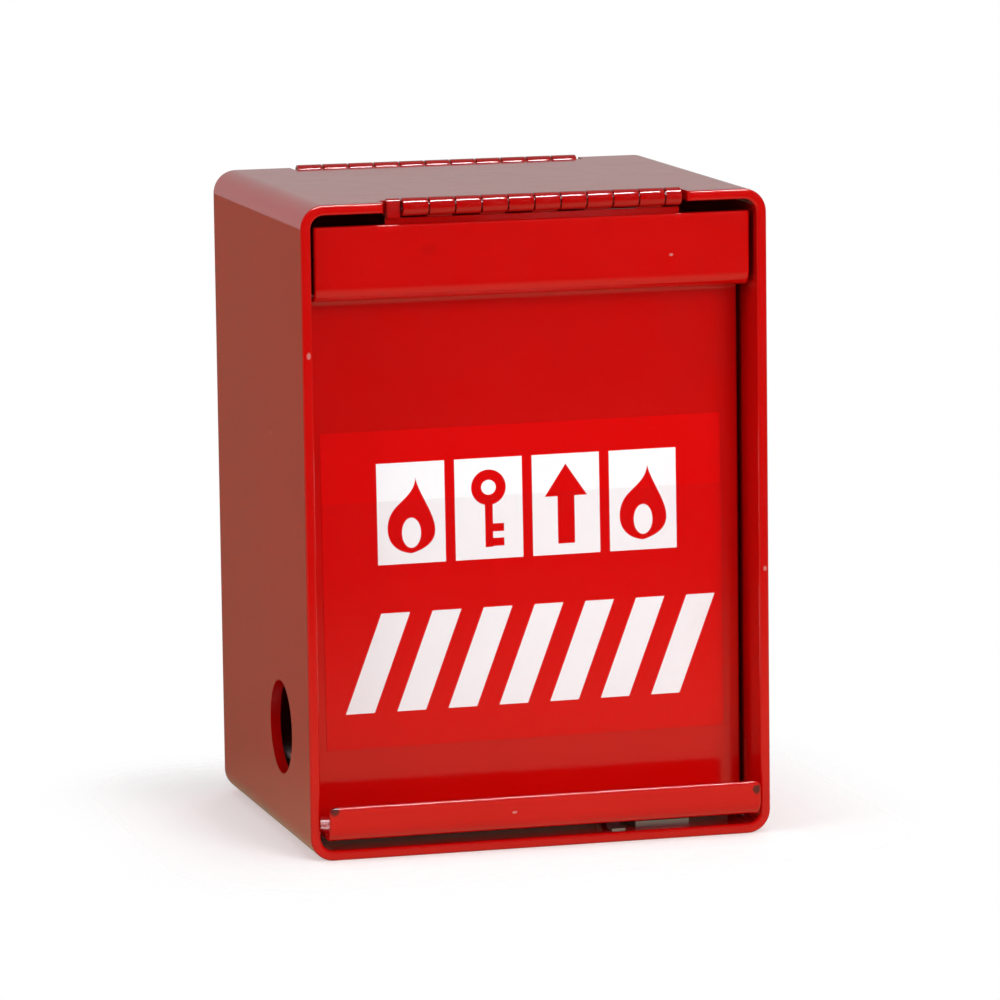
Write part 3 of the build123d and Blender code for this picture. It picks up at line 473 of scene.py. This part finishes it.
# ---------------------------------------------------------------- Geometry Nodes
class Recipe:
    """A Geometry Nodes tree with named inputs, run once and kept as a plain mesh."""

    def __init__(self, name: str) -> None:
        """Starts the tree.

        Args:
            name: the tree's name.
        """
        self.tree = bpy.data.node_groups.new(name, "GeometryNodeTree")
        self.wiring = Wiring(self.tree)
        self.tree.interface.new_socket(name="Geometry", in_out="OUTPUT", socket_type="NodeSocketGeometry")
        self.ids: dict[str, str] = {}
        self.source: bpy.types.Node | None = None

    def takes(self, **sockets: str) -> None:
        """Args:
            sockets: each input's name and kind: Geometry, Float, Int, Vector or Material.
        """
        for name, kind in sockets.items():
            made = self.tree.interface.new_socket(name=name, in_out="INPUT", socket_type=f"NodeSocket{kind}")
            self.ids[name] = made.identifier
        self.source = self.wiring.add("NodeGroupInput")

    def given(self, name: str) -> Socket:
        """The socket that carries an input."""
        return self.source.outputs[name]

    def maths(self, operation: str, a: object, b: object = 0.0) -> Socket:
        """One sum.

        Args:
            operation: the Math node's operation.
            a: the first term.
            b: the second term.

        Returns:
            The result.
        """
        return self.wiring.add("ShaderNodeMath", {0: a, 1: b}, operation=operation).outputs[0]

    def vector(self, x: object = 0.0, y: object = 0.0, z: object = 0.0) -> Socket:
        """A vector from three terms."""
        return self.wiring.add("ShaderNodeCombineXYZ", {0: x, 1: y, 2: z}).outputs[0]

    def cylinder(self, radius: object, depth: object, sides: int = 32) -> Socket:
        """A cylinder about Z, its middle at the origin."""
        inputs = {"Vertices": sides, "Radius": radius, "Depth": depth}
        return self.wiring.add("GeometryNodeMeshCylinder", inputs).outputs["Mesh"]

    def block(self, size: object) -> Socket:
        """A block, its middle at the origin."""
        return self.wiring.add("GeometryNodeMeshCube", {"Size": size}).outputs["Mesh"]

    def moved(self, mesh: object, shift: object, turn: object = (0.0, 0.0, 0.0)) -> Socket:
        """The mesh turned, then shifted."""
        inputs = {"Geometry": mesh, "Translation": shift, "Rotation": turn}
        return self.wiring.add("GeometryNodeTransform", inputs).outputs[0]

    def joined(self, *meshes: Socket) -> Socket:
        """Several meshes as one."""
        node = self.wiring.add("GeometryNodeJoinGeometry")
        for mesh in meshes:
            self.tree.links.new(mesh, node.inputs[0])
        return node.outputs[0]

    def cut(self, mesh: object, *tools: object) -> Socket:
        """The mesh with tools cut out of it."""
        node = self.wiring.add("GeometryNodeMeshBoolean", operation="DIFFERENCE", solver="EXACT")
        self.tree.links.new(mesh, node.inputs["Mesh 1"])
        for tool in tools:
            self.tree.links.new(tool, node.inputs["Mesh 2"])
        return node.outputs[0]

    def spread_on(self, points: object, mesh: object, turn: object = (0.0, 0.0, 0.0)) -> Socket:
        """The mesh once on every point."""
        inputs = {"Points": points, "Instance": mesh, "Rotation": turn}
        return self.wiring.add("GeometryNodeInstanceOnPoints", inputs).outputs[0]

    def ends(self, geometry: Socket) -> None:
        """Realizes the instances, sets the material and closes the tree."""
        real = self.wiring.add("GeometryNodeRealizeInstances", {"Geometry": geometry})
        inputs = {"Geometry": real.outputs[0], "Material": self.given("Material")}
        dressed = self.wiring.add("GeometryNodeSetMaterial", inputs)
        self.wiring.add("NodeGroupOutput", {0: dressed.outputs[0]})

    def run(self, name: str, coat: Coats, round_off: float, points: list[Vector] | None = None,
            **values: object) -> bpy.types.Object:
        """Runs the tree into a plain mesh.

        Args:
            name: the new piece's name.
            coat: its finish.
            round_off: width of the rounding on its edges, in metres.
            points: the points that its instances stand on, where it takes any.
            values: a value for each named input.

        Returns:
            The piece, at the origin, with its place in its mesh.
        """
        seed = bpy.data.meshes.new(name)
        seed.from_pydata(points or [(0, 0, 0)], [], [])
        piece = bpy.data.objects.new(name, seed)
        bpy.context.scene.collection.objects.link(piece)
        grower = piece.modifiers.new("grow", "NODES")
        grower.node_group = self.tree
        for key, value in {"Material": coat.value.material(), **values}.items():
            grower[self.ids[key]] = value
        if round_off:
            soften = piece.modifiers.new("soften", "BEVEL")
            soften.width = round_off
            soften.segments = 2
            soften.limit_method = "ANGLE"
            soften.angle_limit = CREASE
            soften.harden_normals = False
        evaluated = piece.evaluated_get(bpy.context.evaluated_depsgraph_get())
        plain = bpy.data.meshes.new_from_object(evaluated)
        plain.materials.clear()
        plain.materials.append(coat.value.material())
        plain.polygons.foreach_set("material_index", [0] * len(plain.polygons))
        piece.modifiers.clear()
        piece.data = plain
        plain.name = name
        smooth_faces(piece)
        return piece


def smooth_faces(piece: bpy.types.Object, angle: float = 35.0) -> None:
    """Shades a piece smooth, with sharp edges past an angle.

    Args:
        piece: the piece.
        angle: the angle, in degrees.
    """
    mesh = piece.data
    grid = bmesh.new()
    grid.from_mesh(mesh)
    bmesh.ops.remove_doubles(grid, verts=grid.verts, dist=1e-7)
    for face in grid.faces:
        face.smooth = True
    for edge in grid.edges:
        edge.smooth = len(edge.link_faces) == 2 and edge.calc_face_angle(0.0) < math.radians(angle)
    grid.to_mesh(mesh)
    grid.free()


# ---------------------------------------------------------------- fastenings
@dataclass
class ScrewSet:
    """Identical pan-head screws for one CAD node; slot sizes are shares of the head's radius."""

    node: str
    coat: Coats
    head: float
    head_height: float
    shank: float
    axis: Vector
    across: tuple[int, int] = (2, 1)
    slotted: bool = False
    soften: float = 0.18 * MM
    slot_length: float = 1.15
    slot_width: float = 0.28
    head_sides: int = 40
    shank_sides: int = 24

    @staticmethod
    def recipe() -> Recipe:
        """The tree that makes one screw, head up, and puts it on every point.

        Returns:
            The recipe.
        """
        make = Recipe("pan_screws")
        make.takes(Points="Geometry", Head="Float", Height="Float", Shank="Float", Length="Float",
                   Drive="Float", Turn="Vector", Material="Material")
        lift = make.maths("MULTIPLY", make.given("Height"), 0.5)
        disc = make.cylinder(make.given("Head"), make.given("Height"), ScrewSet.head_sides)
        head = make.moved(disc, make.vector(z=lift))
        wide = make.maths("MULTIPLY", make.given("Head"), ScrewSet.slot_length)
        slim = make.maths("MULTIPLY", make.given("Head"), ScrewSet.slot_width)
        slot = make.block(make.vector(wide, slim, make.given("Height")))
        first = make.moved(slot, make.vector(z=make.given("Height")))
        narrow = make.maths("MULTIPLY", slim, make.given("Drive"))
        broad = make.maths("MAXIMUM", make.maths("MULTIPLY", wide, make.given("Drive")), narrow)
        second = make.moved(make.block(make.vector(narrow, broad, make.given("Height"))),
                            make.vector(z=make.given("Height")))
        drop = make.maths("MULTIPLY", make.given("Length"), -0.5)
        rod = make.cylinder(make.given("Shank"), make.given("Length"), ScrewSet.shank_sides)
        shank = make.moved(rod, make.vector(z=drop))
        screw = make.joined(make.cut(head, first, second), shank)
        make.ends(make.spread_on(make.given("Points"), screw, make.given("Turn")))
        return make

    def places(self) -> tuple[list[Vector], float]:
        """Where the heads seat, and how long the shanks are.

        Returns:
            The places and the length.
        """
        low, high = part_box(self.node)
        along = max(range(3), key=lambda i: abs(self.axis[i]))
        others = [i for i in range(3) if i != along]
        counts = self.across
        edge = self.head
        spots = []
        for i in range(counts[0]):
            for j in range(counts[1]):
                spot = Vector((0, 0, 0))
                for axis, count, step in ((others[0], counts[0], i), (others[1], counts[1], j)):
                    a, b = low[axis] + edge, high[axis] - edge
                    spot[axis] = (a + b) / 2 if count == 1 else a + (b - a) * step / (count - 1)
                up = self.axis[along] > 0
                spot[along] = high[along] - self.head_height if up else low[along] + self.head_height
                spots.append(spot)
        return spots, high[along] - low[along] - self.head_height

    def build(self, make: Recipe) -> None:
        """Builds the screws and hides the CAD node.

        Args:
            make: the screw recipe.
        """
        spots, length = self.places()
        turn = self.axis.to_track_quat("Z", "Y").to_euler()
        piece = make.run(f"{self.node}_made", self.coat, self.soften, spots, Head=self.head,
                         Height=self.head_height, Shank=self.shank, Length=length,
                         Drive=0.0 if self.slotted else 1.0, Turn=tuple(turn))
        settle(piece, self.node)


# ---------------------------------------------------------------- hinges
class End(Enum):
    """The two open ends of the tube."""

    FRONT = -1
    REAR = 1


@dataclass
class PianoHinge:
    """A continuous hinge: two leaves, each with alternate knuckles, about one pin.

    `crimp` is the crimped knuckle's length. The four crimp sizes after it are its outline's places, in
    millimetres from the pin's axis. `short` is the share of the pitch that the front hinge's last knuckle
    lacks, and `whole` the share above which a knuckle counts as a full one.
    """

    end: End
    knuckles: int = 11
    crimp: float = 3.5 * MM
    crimp_front: float = -0.2
    crimp_rear: float = 2.1
    crimp_side: float = 0.9
    crimp_top: float = 1.9
    short: float = 0.35
    whole: float = 0.98
    gap: float = 0.35 * MM
    leaf: float = 1.0 * MM
    bore: float = 1.1 * MM
    reach: float = 14.0 * MM
    relief: float = 0.5 * MM
    soften: float = 0.14 * MM
    sides: int = 40
    bore_sides: int = 24

    @staticmethod
    def recipe() -> Recipe:
        """The tree that makes one leaf: a row of knuckles with necks, and the plate.

        Returns:
            The recipe.
        """
        make = Recipe("knuckle_row")
        make.takes(Knuckles="Geometry", Outer="Float", Bore="Float", Width="Float", Neck="Vector",
                   NeckAt="Vector", Plate="Vector", PlateAt="Vector", Material="Material")
        through = make.maths("MULTIPLY", make.given("Width"), 2.0)
        ring = make.cut(make.cylinder(make.given("Outer"), make.given("Width"), PianoHinge.sides),
                        make.cylinder(make.given("Bore"), through, PianoHinge.bore_sides))
        lying = make.moved(ring, (0.0, 0.0, 0.0), (0.0, math.pi / 2, 0.0))
        neck = make.moved(make.block(make.given("Neck")), make.given("NeckAt"))
        row = make.spread_on(make.given("Knuckles"), make.joined(lying, neck))
        plate = make.moved(make.block(make.given("Plate")), make.given("PlateAt"))
        make.ends(make.joined(row, plate))
        return make

    def spans(self, start: float, end: float) -> list[tuple[float, float]]:
        """Start and end of every knuckle, in the order of the hinge's own left to right.

        Args:
            start: the hinge's first end.
            end: its last end.

        Returns:
            The spans, the crimped one first on the front hinge.
        """
        first = self.crimp if self.end is End.FRONT else 0.0
        full = self.knuckles - (self.short if self.end is End.FRONT else 0.0)
        pitch = (end - start - first) / full
        edges = [start, start + first] if first else [start]
        while edges[-1] + pitch < end - 1e-6:
            edges.append(edges[-1] + pitch)
        edges.append(end)
        return list(zip(edges, edges[1:]))

    def build(self, make: Recipe) -> None:
        """Builds both leaves.

        Args:
            make: the knuckle recipe.
        """
        side = self.end.name.lower()
        joint = next(j for j in frame["record"]["behaviour"]["joints"] if j["name"] == f"{side}_door_hinge")
        axis = Vector(joint["pos_m"])
        facing = -self.end.value
        low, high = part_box(f"{side}_hinge_fixed_leaf")
        start, end = (low.x, high.x) if facing > 0 else (-high.x, -low.x)
        outer = high.z - axis.z
        body = outer + self.relief
        middle = (outer + self.bore) / 2
        length = end - start
        centre = (start + end) / 2 * facing
        spans = self.spans(start, end)
        for kind in ("fixed", "moving"):
            fixed = kind == "fixed"
            own = [s for i, s in enumerate(spans) if (i % 2 == 1) == fixed]
            pitch = max(b - a for a, b in own)
            knuckles = [s for s in own if s[1] - s[0] > self.whole * pitch]
            rest = [s for s in own if s not in knuckles]
            width = pitch - self.gap
            spots = [Vector(((a + b) / 2 * facing, axis.y, axis.z)) for a, b in knuckles]
            if fixed:
                neck, neck_at = (width, body, self.leaf), (0, facing * body / 2, -middle)
                plate = (length, self.reach - body, self.leaf)
                plate_at = (centre, axis.y + facing * (body + self.reach) / 2, axis.z - middle)
            else:
                neck, neck_at = (width, self.leaf, body), (0, facing * middle, -body / 2)
                plate = (length, self.leaf, self.reach - body)
                plate_at = (centre, axis.y + facing * middle, axis.z - (body + self.reach) / 2)
            node = f"{side}_hinge_{kind}_leaf"
            piece = make.run(f"{node}_made", Coats.HINGE, self.soften, spots, Outer=outer, Bore=self.bore,
                             Width=width, Neck=neck, NeckAt=neck_at, Plate=plate, PlateAt=plate_at)
            for a, b in rest:
                self.odd_knuckle(piece, a, b, axis, outer, body, fixed, facing)
            smooth_faces(piece)
            settle(piece, node)
        dress_node(f"{side}_hinge_pin", Coats.PIN)

    def crimped_outline(self, body: float) -> list[tuple[float, float]]:
        """The crimped knuckle seen from its end, in millimetres from the pin's axis.

        Args:
            body: from the axis down to the plate, in metres.

        Returns:
            The outline's points, rearward and upward.
        """
        front, rear, side, top = self.crimp_front, self.crimp_rear, self.crimp_side, self.crimp_top
        points = [(front, -body / MM), (rear, -body / MM), (rear, side)]
        for turn in (0.5, 1.0, 1.5):
            points.append((rear - side * (1 - math.cos(turn)), side + (top - side) * math.sin(turn)))
        return points + [(0.6, top), (0.1, 1.6), (front, 1.0)]

    def odd_knuckle(self, piece: bpy.types.Object, a: float, b: float, axis: Vector, outer: float,
                    body: float, fixed: bool, facing: int) -> None:
        """Adds the crimped end knuckle or the short last one to a leaf.

        Args:
            piece: the leaf.
            a: the knuckle's start.
            b: its end.
            axis: a point on the pin's axis.
            outer: the knuckle's radius.
            body: from the axis to the plate.
            fixed: whether the leaf is the tube's.
            facing: +1 at the front, -1 at the rear.
        """
        crimped = b - a < self.crimp + self.gap and self.end is End.FRONT and not fixed
        x0, x1 = (a + self.gap / 2) * facing, (b - self.gap / 2) * facing
        if crimped:
            outline = self.crimped_outline(body)
            loops = [[(y * MM, z * MM) for y, z in outline]]
        else:
            turns = [2 * math.pi * i / self.sides for i in range(self.sides)]
            loops = [[(radius * math.cos(t), radius * math.sin(t)) for t in turns]
                     for radius in (outer, self.bore)]
        grid = bmesh.new()
        rings = []
        for loop in loops:
            for x in (x0, x1):
                rings.append([grid.verts.new((x, axis.y + facing * y, axis.z + z)) for y, z in loop])
        if crimped:
            grid.faces.new(rings[0])
            grid.faces.new(rings[1])
        for r in range(0, len(rings), 2):
            count = len(rings[r])
            for i in range(count):
                j = (i + 1) % count
                grid.faces.new((rings[r][i], rings[r][j], rings[r + 1][j], rings[r + 1][i]))
        if not crimped:
            for side in (0, 1):
                for i in range(len(rings[0])):
                    j = (i + 1) % len(rings[0])
                    grid.faces.new((rings[side][i], rings[side][j], rings[side + 2][j], rings[side + 2][i]))
            middle = (outer + self.bore) / 2
            size = (abs(x1 - x0), body, self.leaf) if fixed else (abs(x1 - x0), self.leaf, body)
            at = (0, facing * body / 2, -middle) if fixed else (0, facing * middle, -body / 2)
            middle_at = Vector(((x0 + x1) / 2, axis.y, axis.z)) + Vector(at)
            place = Matrix.Translation(middle_at) @ Matrix.Diagonal((*size, 1))
            bmesh.ops.create_cube(grid, size=1, matrix=place)
        bmesh.ops.recalc_face_normals(grid, faces=grid.faces)
        sharp = [e for e in grid.edges if len(e.link_faces) == 2 and e.calc_face_angle(0.0) > CREASE]
        bmesh.ops.bevel(grid, geom=sharp, offset=self.soften, segments=2, affect="EDGES", clamp_overlap=True)
        grid.from_mesh(piece.data)
        grid.to_mesh(piece.data)
        grid.free()


# ---------------------------------------------------------------- sub-assemblies
@dataclass
class Shell:
    """The tube and its two flap doors."""

    doors: tuple[str, str] = ("front_door", "rear_door")

    def build(self) -> None:
        """Dresses the tube and the doors."""
        dress_node("tube_body", Coats.TUBE)
        for door in self.doors:
            dress_node(door, Coats.DOOR)


@dataclass
class Label:
    """The red label, its white print and the clear strip over both."""

    air: float = 0.01 * MM

    def build(self) -> None:
        """Dresses the three films."""
        dress_node("label_base", Coats.LABEL)
        dress_node("label_print", Coats.PRINT)
        self.clear_strip("label_overlay")

    def clear_strip(self, node: str) -> None:
        """Builds the clear strip with a little air behind it, so that it and the print share no face.

        Args:
            node: the CAD node that it replaces.
        """
        source = frame["nodes"][node].data
        low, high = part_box(node)
        middle = (low.y + high.y) / 2
        corners = [corner.co.copy() for corner in source.vertices]
        for corner in corners:
            if corner.y > middle:
                corner.y -= self.air
        mesh = bpy.data.meshes.new(f"{node}_made")
        mesh.from_pydata(corners, [], [list(face.vertices) for face in source.polygons])
        strip = bpy.data.objects.new(f"{node}_made", mesh)
        bpy.context.scene.collection.objects.link(strip)
        mesh.materials.append(Coats.CLEAR.value.material())
        smooth_faces(strip)
        settle(strip, node)


@dataclass
class Innards:
    """Everything on the tray behind the doors."""

    plain: tuple[tuple[str, Coats], ...] = (
        ("tray", Coats.ZINC), ("switch_bracket", Coats.ZINC), ("tray_nuts", Coats.FASTENER),
        ("lock_nut", Coats.FASTENER), ("earth_nut", Coats.FASTENER), ("cam_screw", Coats.FASTENER),
        ("front_catch_spring", Coats.SPRING), ("rear_catch_spring", Coats.SPRING),
        ("switch_lever", Coats.SPRING), ("lock_cam", Coats.SPRING),
        ("cover_rivet", Coats.SPRING), ("front_bumpers", Coats.RUBBER),
        ("rear_bumpers", Coats.RUBBER), ("lock_body", Coats.CHROME), ("dust_cover", Coats.CHROME),
        ("lock_plug", Coats.BRASS), ("snap_switch_tabs", Coats.BRASS), ("earth_stud", Coats.BRASS),
        ("snap_switch", Coats.BLACK), ("switch_button", Coats.BUTTON), ("switch_spacers", Coats.SPACER),
        ("terminal_block", Coats.IVORY), ("tray_screws", Coats.FASTENER), ("switch_nuts", Coats.FASTENER),
    )

    def build(self) -> None:
        """Dresses the CAD pieces and builds the screws."""
        for node, coat in self.plain:
            dress_node(node, coat)
        up, front = Vector((0, 0, 1)), Vector((0, -1, 0))
        screws = ScrewSet.recipe()
        sets = (
            ScrewSet("bracket_screws", Coats.FASTENER, 3.8 * MM, 2.2 * MM, 2.0 * MM, up),
            ScrewSet("terminal_screws", Coats.FASTENER, 2.75 * MM, 1.8 * MM, 1.5 * MM, up),
            ScrewSet("switch_screws", Coats.FASTENER, 2.75 * MM, 1.8 * MM, 1.5 * MM, front, across=(1, 2)),
            ScrewSet("clamp_screws", Coats.BRASS, 1.8 * MM, 1.5 * MM, 1.2 * MM, up, across=(4, 2),
                     slotted=True),
        )
        for one in sets:
            one.build(screws)


# ---------------------------------------------------------------- studio
@dataclass
class Studio:
    """Pale floor, soft lights, white surroundings and the camera."""

    camera_at: Vector = Vector((-378.33, -1426.11, 294.43)) * MM
    target: Vector = Vector((2.91, 0.0, 75.35)) * MM
    roll: float = -0.753
    lens: float = 224.9
    floor_radius: float = 2.2
    footprint: Colour = (0.0556, 0.0462, 0.0)
    ambient: float = 0.22
    floor_glow: float = 0.36
    floor_white: float = 0.85
    floor_fade: float = 0.05
    floor_front: Ramp = Ramp(-0.42, -0.18, 0.008, 0.34)
    floor_rear: Ramp = Ramp(-0.1, 0.1, 1.0, 0.5)
    sky_up: Ramp = Ramp(0.45, 0.95, 0.0, 0.25)
    sky_back: Ramp = Ramp(-0.2, 0.7, 0.01, 0.43)
    sensor: float = 36
    clip: tuple[float, float] = (0.05, 20)

    def build(self) -> None:
        """Sets up everything round the object."""
        bpy.context.scene.view_settings.view_transform = "Standard"
        self.floor()
        self.surroundings()
        self.lights()
        self.camera()

    def floor(self) -> None:
        """A pale floor: to the camera it fades out round the box, to reflections it is dark in front."""
        grid = bmesh.new()
        bmesh.ops.create_circle(grid, cap_ends=True, segments=96, radius=self.floor_radius)
        mesh = bpy.data.meshes.new("floor")
        grid.to_mesh(mesh)
        grid.free()
        floor = bpy.data.objects.new("floor", mesh)
        bpy.context.scene.collection.objects.link(floor)
        paper = bpy.data.materials.new("floor_paper")
        paper.use_nodes = True
        wiring = Wiring(paper.node_tree)
        path = wiring.add("ShaderNodeLightPath")
        place = wiring.add("ShaderNodeTexCoord").outputs["Object"]
        split = wiring.add("ShaderNodeSeparateXYZ", {0: place})
        front = self.floor_front.over(wiring, split.outputs[1])
        rear = self.floor_rear.over(wiring, split.outputs[1])
        level = wiring.add("ShaderNodeMath", {0: front, 1: rear}, operation="MULTIPLY")
        grey = wiring.add("ShaderNodeEmission", {"Color": (1, 0.92, 0.6, 1), "Strength": level.outputs[0]})
        white = wiring.add("ShaderNodeBsdfDiffuse", {"Color": (0.9, 0.9, 0.9, 1)})
        bounce = wiring.add("ShaderNodeMixShader", {0: path.outputs["Is Glossy Ray"], 1: white.outputs[0],
                                                    2: grey.outputs[0]})
        glow = wiring.add("ShaderNodeEmission", {"Color": (1, 1, 1, 1), "Strength": self.floor_glow})
        paper_white = wiring.add("ShaderNodeBsdfDiffuse", {"Color": (*[self.floor_white] * 3, 1)})
        seen = wiring.add("ShaderNodeAddShader", {0: glow.outputs[0], 1: paper_white.outputs[0]})
        outward = wiring.add("ShaderNodeVectorMath", {0: place}, operation="ABSOLUTE")
        terms = {0: outward.outputs[0], 1: self.footprint}
        beyond = wiring.add("ShaderNodeVectorMath", terms, operation="SUBTRACT")
        kept = wiring.add("ShaderNodeVectorMath", {0: beyond.outputs[0], 1: (0, 0, 0)}, operation="MAXIMUM")
        away = wiring.add("ShaderNodeVectorMath", {0: kept.outputs[0]}, operation="LENGTH")
        inputs = {"Value": away.outputs["Value"], "From Min": 0.0, "From Max": self.floor_fade}
        fade = wiring.add("ShaderNodeMapRange", inputs)
        fade.interpolation_type = "SMOOTHSTEP"
        nothing = wiring.add("ShaderNodeBsdfTransparent")
        inputs = {0: fade.outputs[0], 1: seen.outputs[0], 2: nothing.outputs[0]}
        faded = wiring.add("ShaderNodeMixShader", inputs)
        mixed = wiring.add("ShaderNodeMixShader", {0: path.outputs["Is Camera Ray"], 1: bounce.outputs[0],
                                                   2: faded.outputs[0]})
        wiring.add("ShaderNodeOutputMaterial", {"Surface": mixed.outputs[0]})
        mesh.materials.append(paper)

    def surroundings(self) -> None:
        """White to the camera, and a softer studio to everything else."""
        world = bpy.data.worlds.new("studio")
        bpy.context.scene.world = world
        world.use_nodes = True
        wiring = Wiring(world.node_tree)
        place = wiring.add("ShaderNodeTexCoord").outputs["Generated"]
        split = wiring.add("ShaderNodeSeparateXYZ", {0: place})
        up = self.sky_up.over(wiring, split.outputs[2])
        back = self.sky_back.over(wiring, split.outputs[1])
        level = wiring.add("ShaderNodeMath", {0: up, 1: back}, operation="MAXIMUM")
        inputs = {"Color": (1, 0.97, 0.95, 1), "Strength": level.outputs[0]}
        shiny = wiring.add("ShaderNodeBackground", inputs)
        soft = wiring.add("ShaderNodeBackground", {"Color": (1, 1, 1, 1), "Strength": self.ambient})
        kind = wiring.add("ShaderNodeLightPath").outputs["Is Glossy Ray"]
        room = wiring.add("ShaderNodeMixShader", {0: kind, 1: soft.outputs[0], 2: shiny.outputs[0]})
        white = wiring.add("ShaderNodeBackground", {"Color": (1, 1, 1, 1), "Strength": 1.0})
        path = wiring.add("ShaderNodeLightPath")
        inputs = {0: path.outputs["Is Camera Ray"], 1: room.outputs[0], 2: white.outputs[0]}
        mixed = wiring.add("ShaderNodeMixShader", inputs)
        wiring.add("ShaderNodeOutputWorld", {"Surface": mixed.outputs[0]})

    def softbox(self, name: str, at: Colour, size: tuple[float, float], watts: float, glossy: bool = True,
                diffuse: bool = True) -> None:
        """One area light that looks at the object.

        Args:
            name: its name.
            at: where it stands, in metres.
            size: its width and height.
            watts: its power.
            glossy: whether reflections show it.
            diffuse: whether it lights matt surfaces.
        """
        light = bpy.data.lights.new(name, "AREA")
        light.shape = "RECTANGLE"
        light.size, light.size_y = size
        light.energy = watts
        lamp = bpy.data.objects.new(name, light)
        bpy.context.scene.collection.objects.link(lamp)
        lamp.location = at
        lamp.rotation_mode = "QUATERNION"
        lamp.rotation_quaternion = (Vector(at) - self.target).to_track_quat("Z", "Y")
        lamp.visible_glossy = glossy
        lamp.visible_diffuse = diffuse

    def lights(self) -> None:
        """An overhead light that only reflections see, and four that they don't."""
        self.softbox("overhead_sheen", at=(0.1, -0.45, 1.15), size=(1.0, 0.11), watts=19, diffuse=False)
        self.softbox("overhead_soft", at=(0.1, -0.30, 1.2), size=(0.9, 0.6), watts=3.0, glossy=False)
        self.softbox("front_fill", at=(0.5, -1.35, 0.52), size=(0.7, 0.7), watts=13.0, glossy=False)
        self.softbox("left_fill", at=(-1.2, -0.5, 0.6), size=(0.6, 0.8), watts=6.5, glossy=False)
        self.softbox("rear_fill", at=(0.6, 1.35, 0.35), size=(0.7, 0.5), watts=7.0, glossy=False)

    def camera(self) -> None:
        """The camera at the chosen angle."""
        data = bpy.data.cameras.new("camera")
        data.sensor_width = self.sensor
        data.lens = self.lens
        data.clip_start, data.clip_end = self.clip
        camera = bpy.data.objects.new("camera", data)
        bpy.context.scene.collection.objects.link(camera)
        forward = (self.target - self.camera_at).normalized()
        right = forward.cross(Vector((0, 0, 1))).normalized()
        above = right.cross(forward)
        turn = math.radians(self.roll)
        across = right * math.cos(turn) + above * math.sin(turn)
        upward = above * math.cos(turn) - right * math.sin(turn)
        matrix = Matrix((across, upward, -forward)).transposed().to_4x4()
        matrix.translation = self.camera_at
        camera.matrix_world = matrix
        bpy.context.scene.camera = camera


def main() -> None:
    """Builds the sub-assemblies and the studio in order."""
    logging.basicConfig(level=logging.INFO, format="%(message)s")
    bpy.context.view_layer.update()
    Shell().build()
    knuckles = PianoHinge.recipe()
    for end in End:
        PianoHinge(end).build(knuckles)
    Label().build()
    Innards().build()
    Studio().build()


if __name__ == "__main__":
    main()
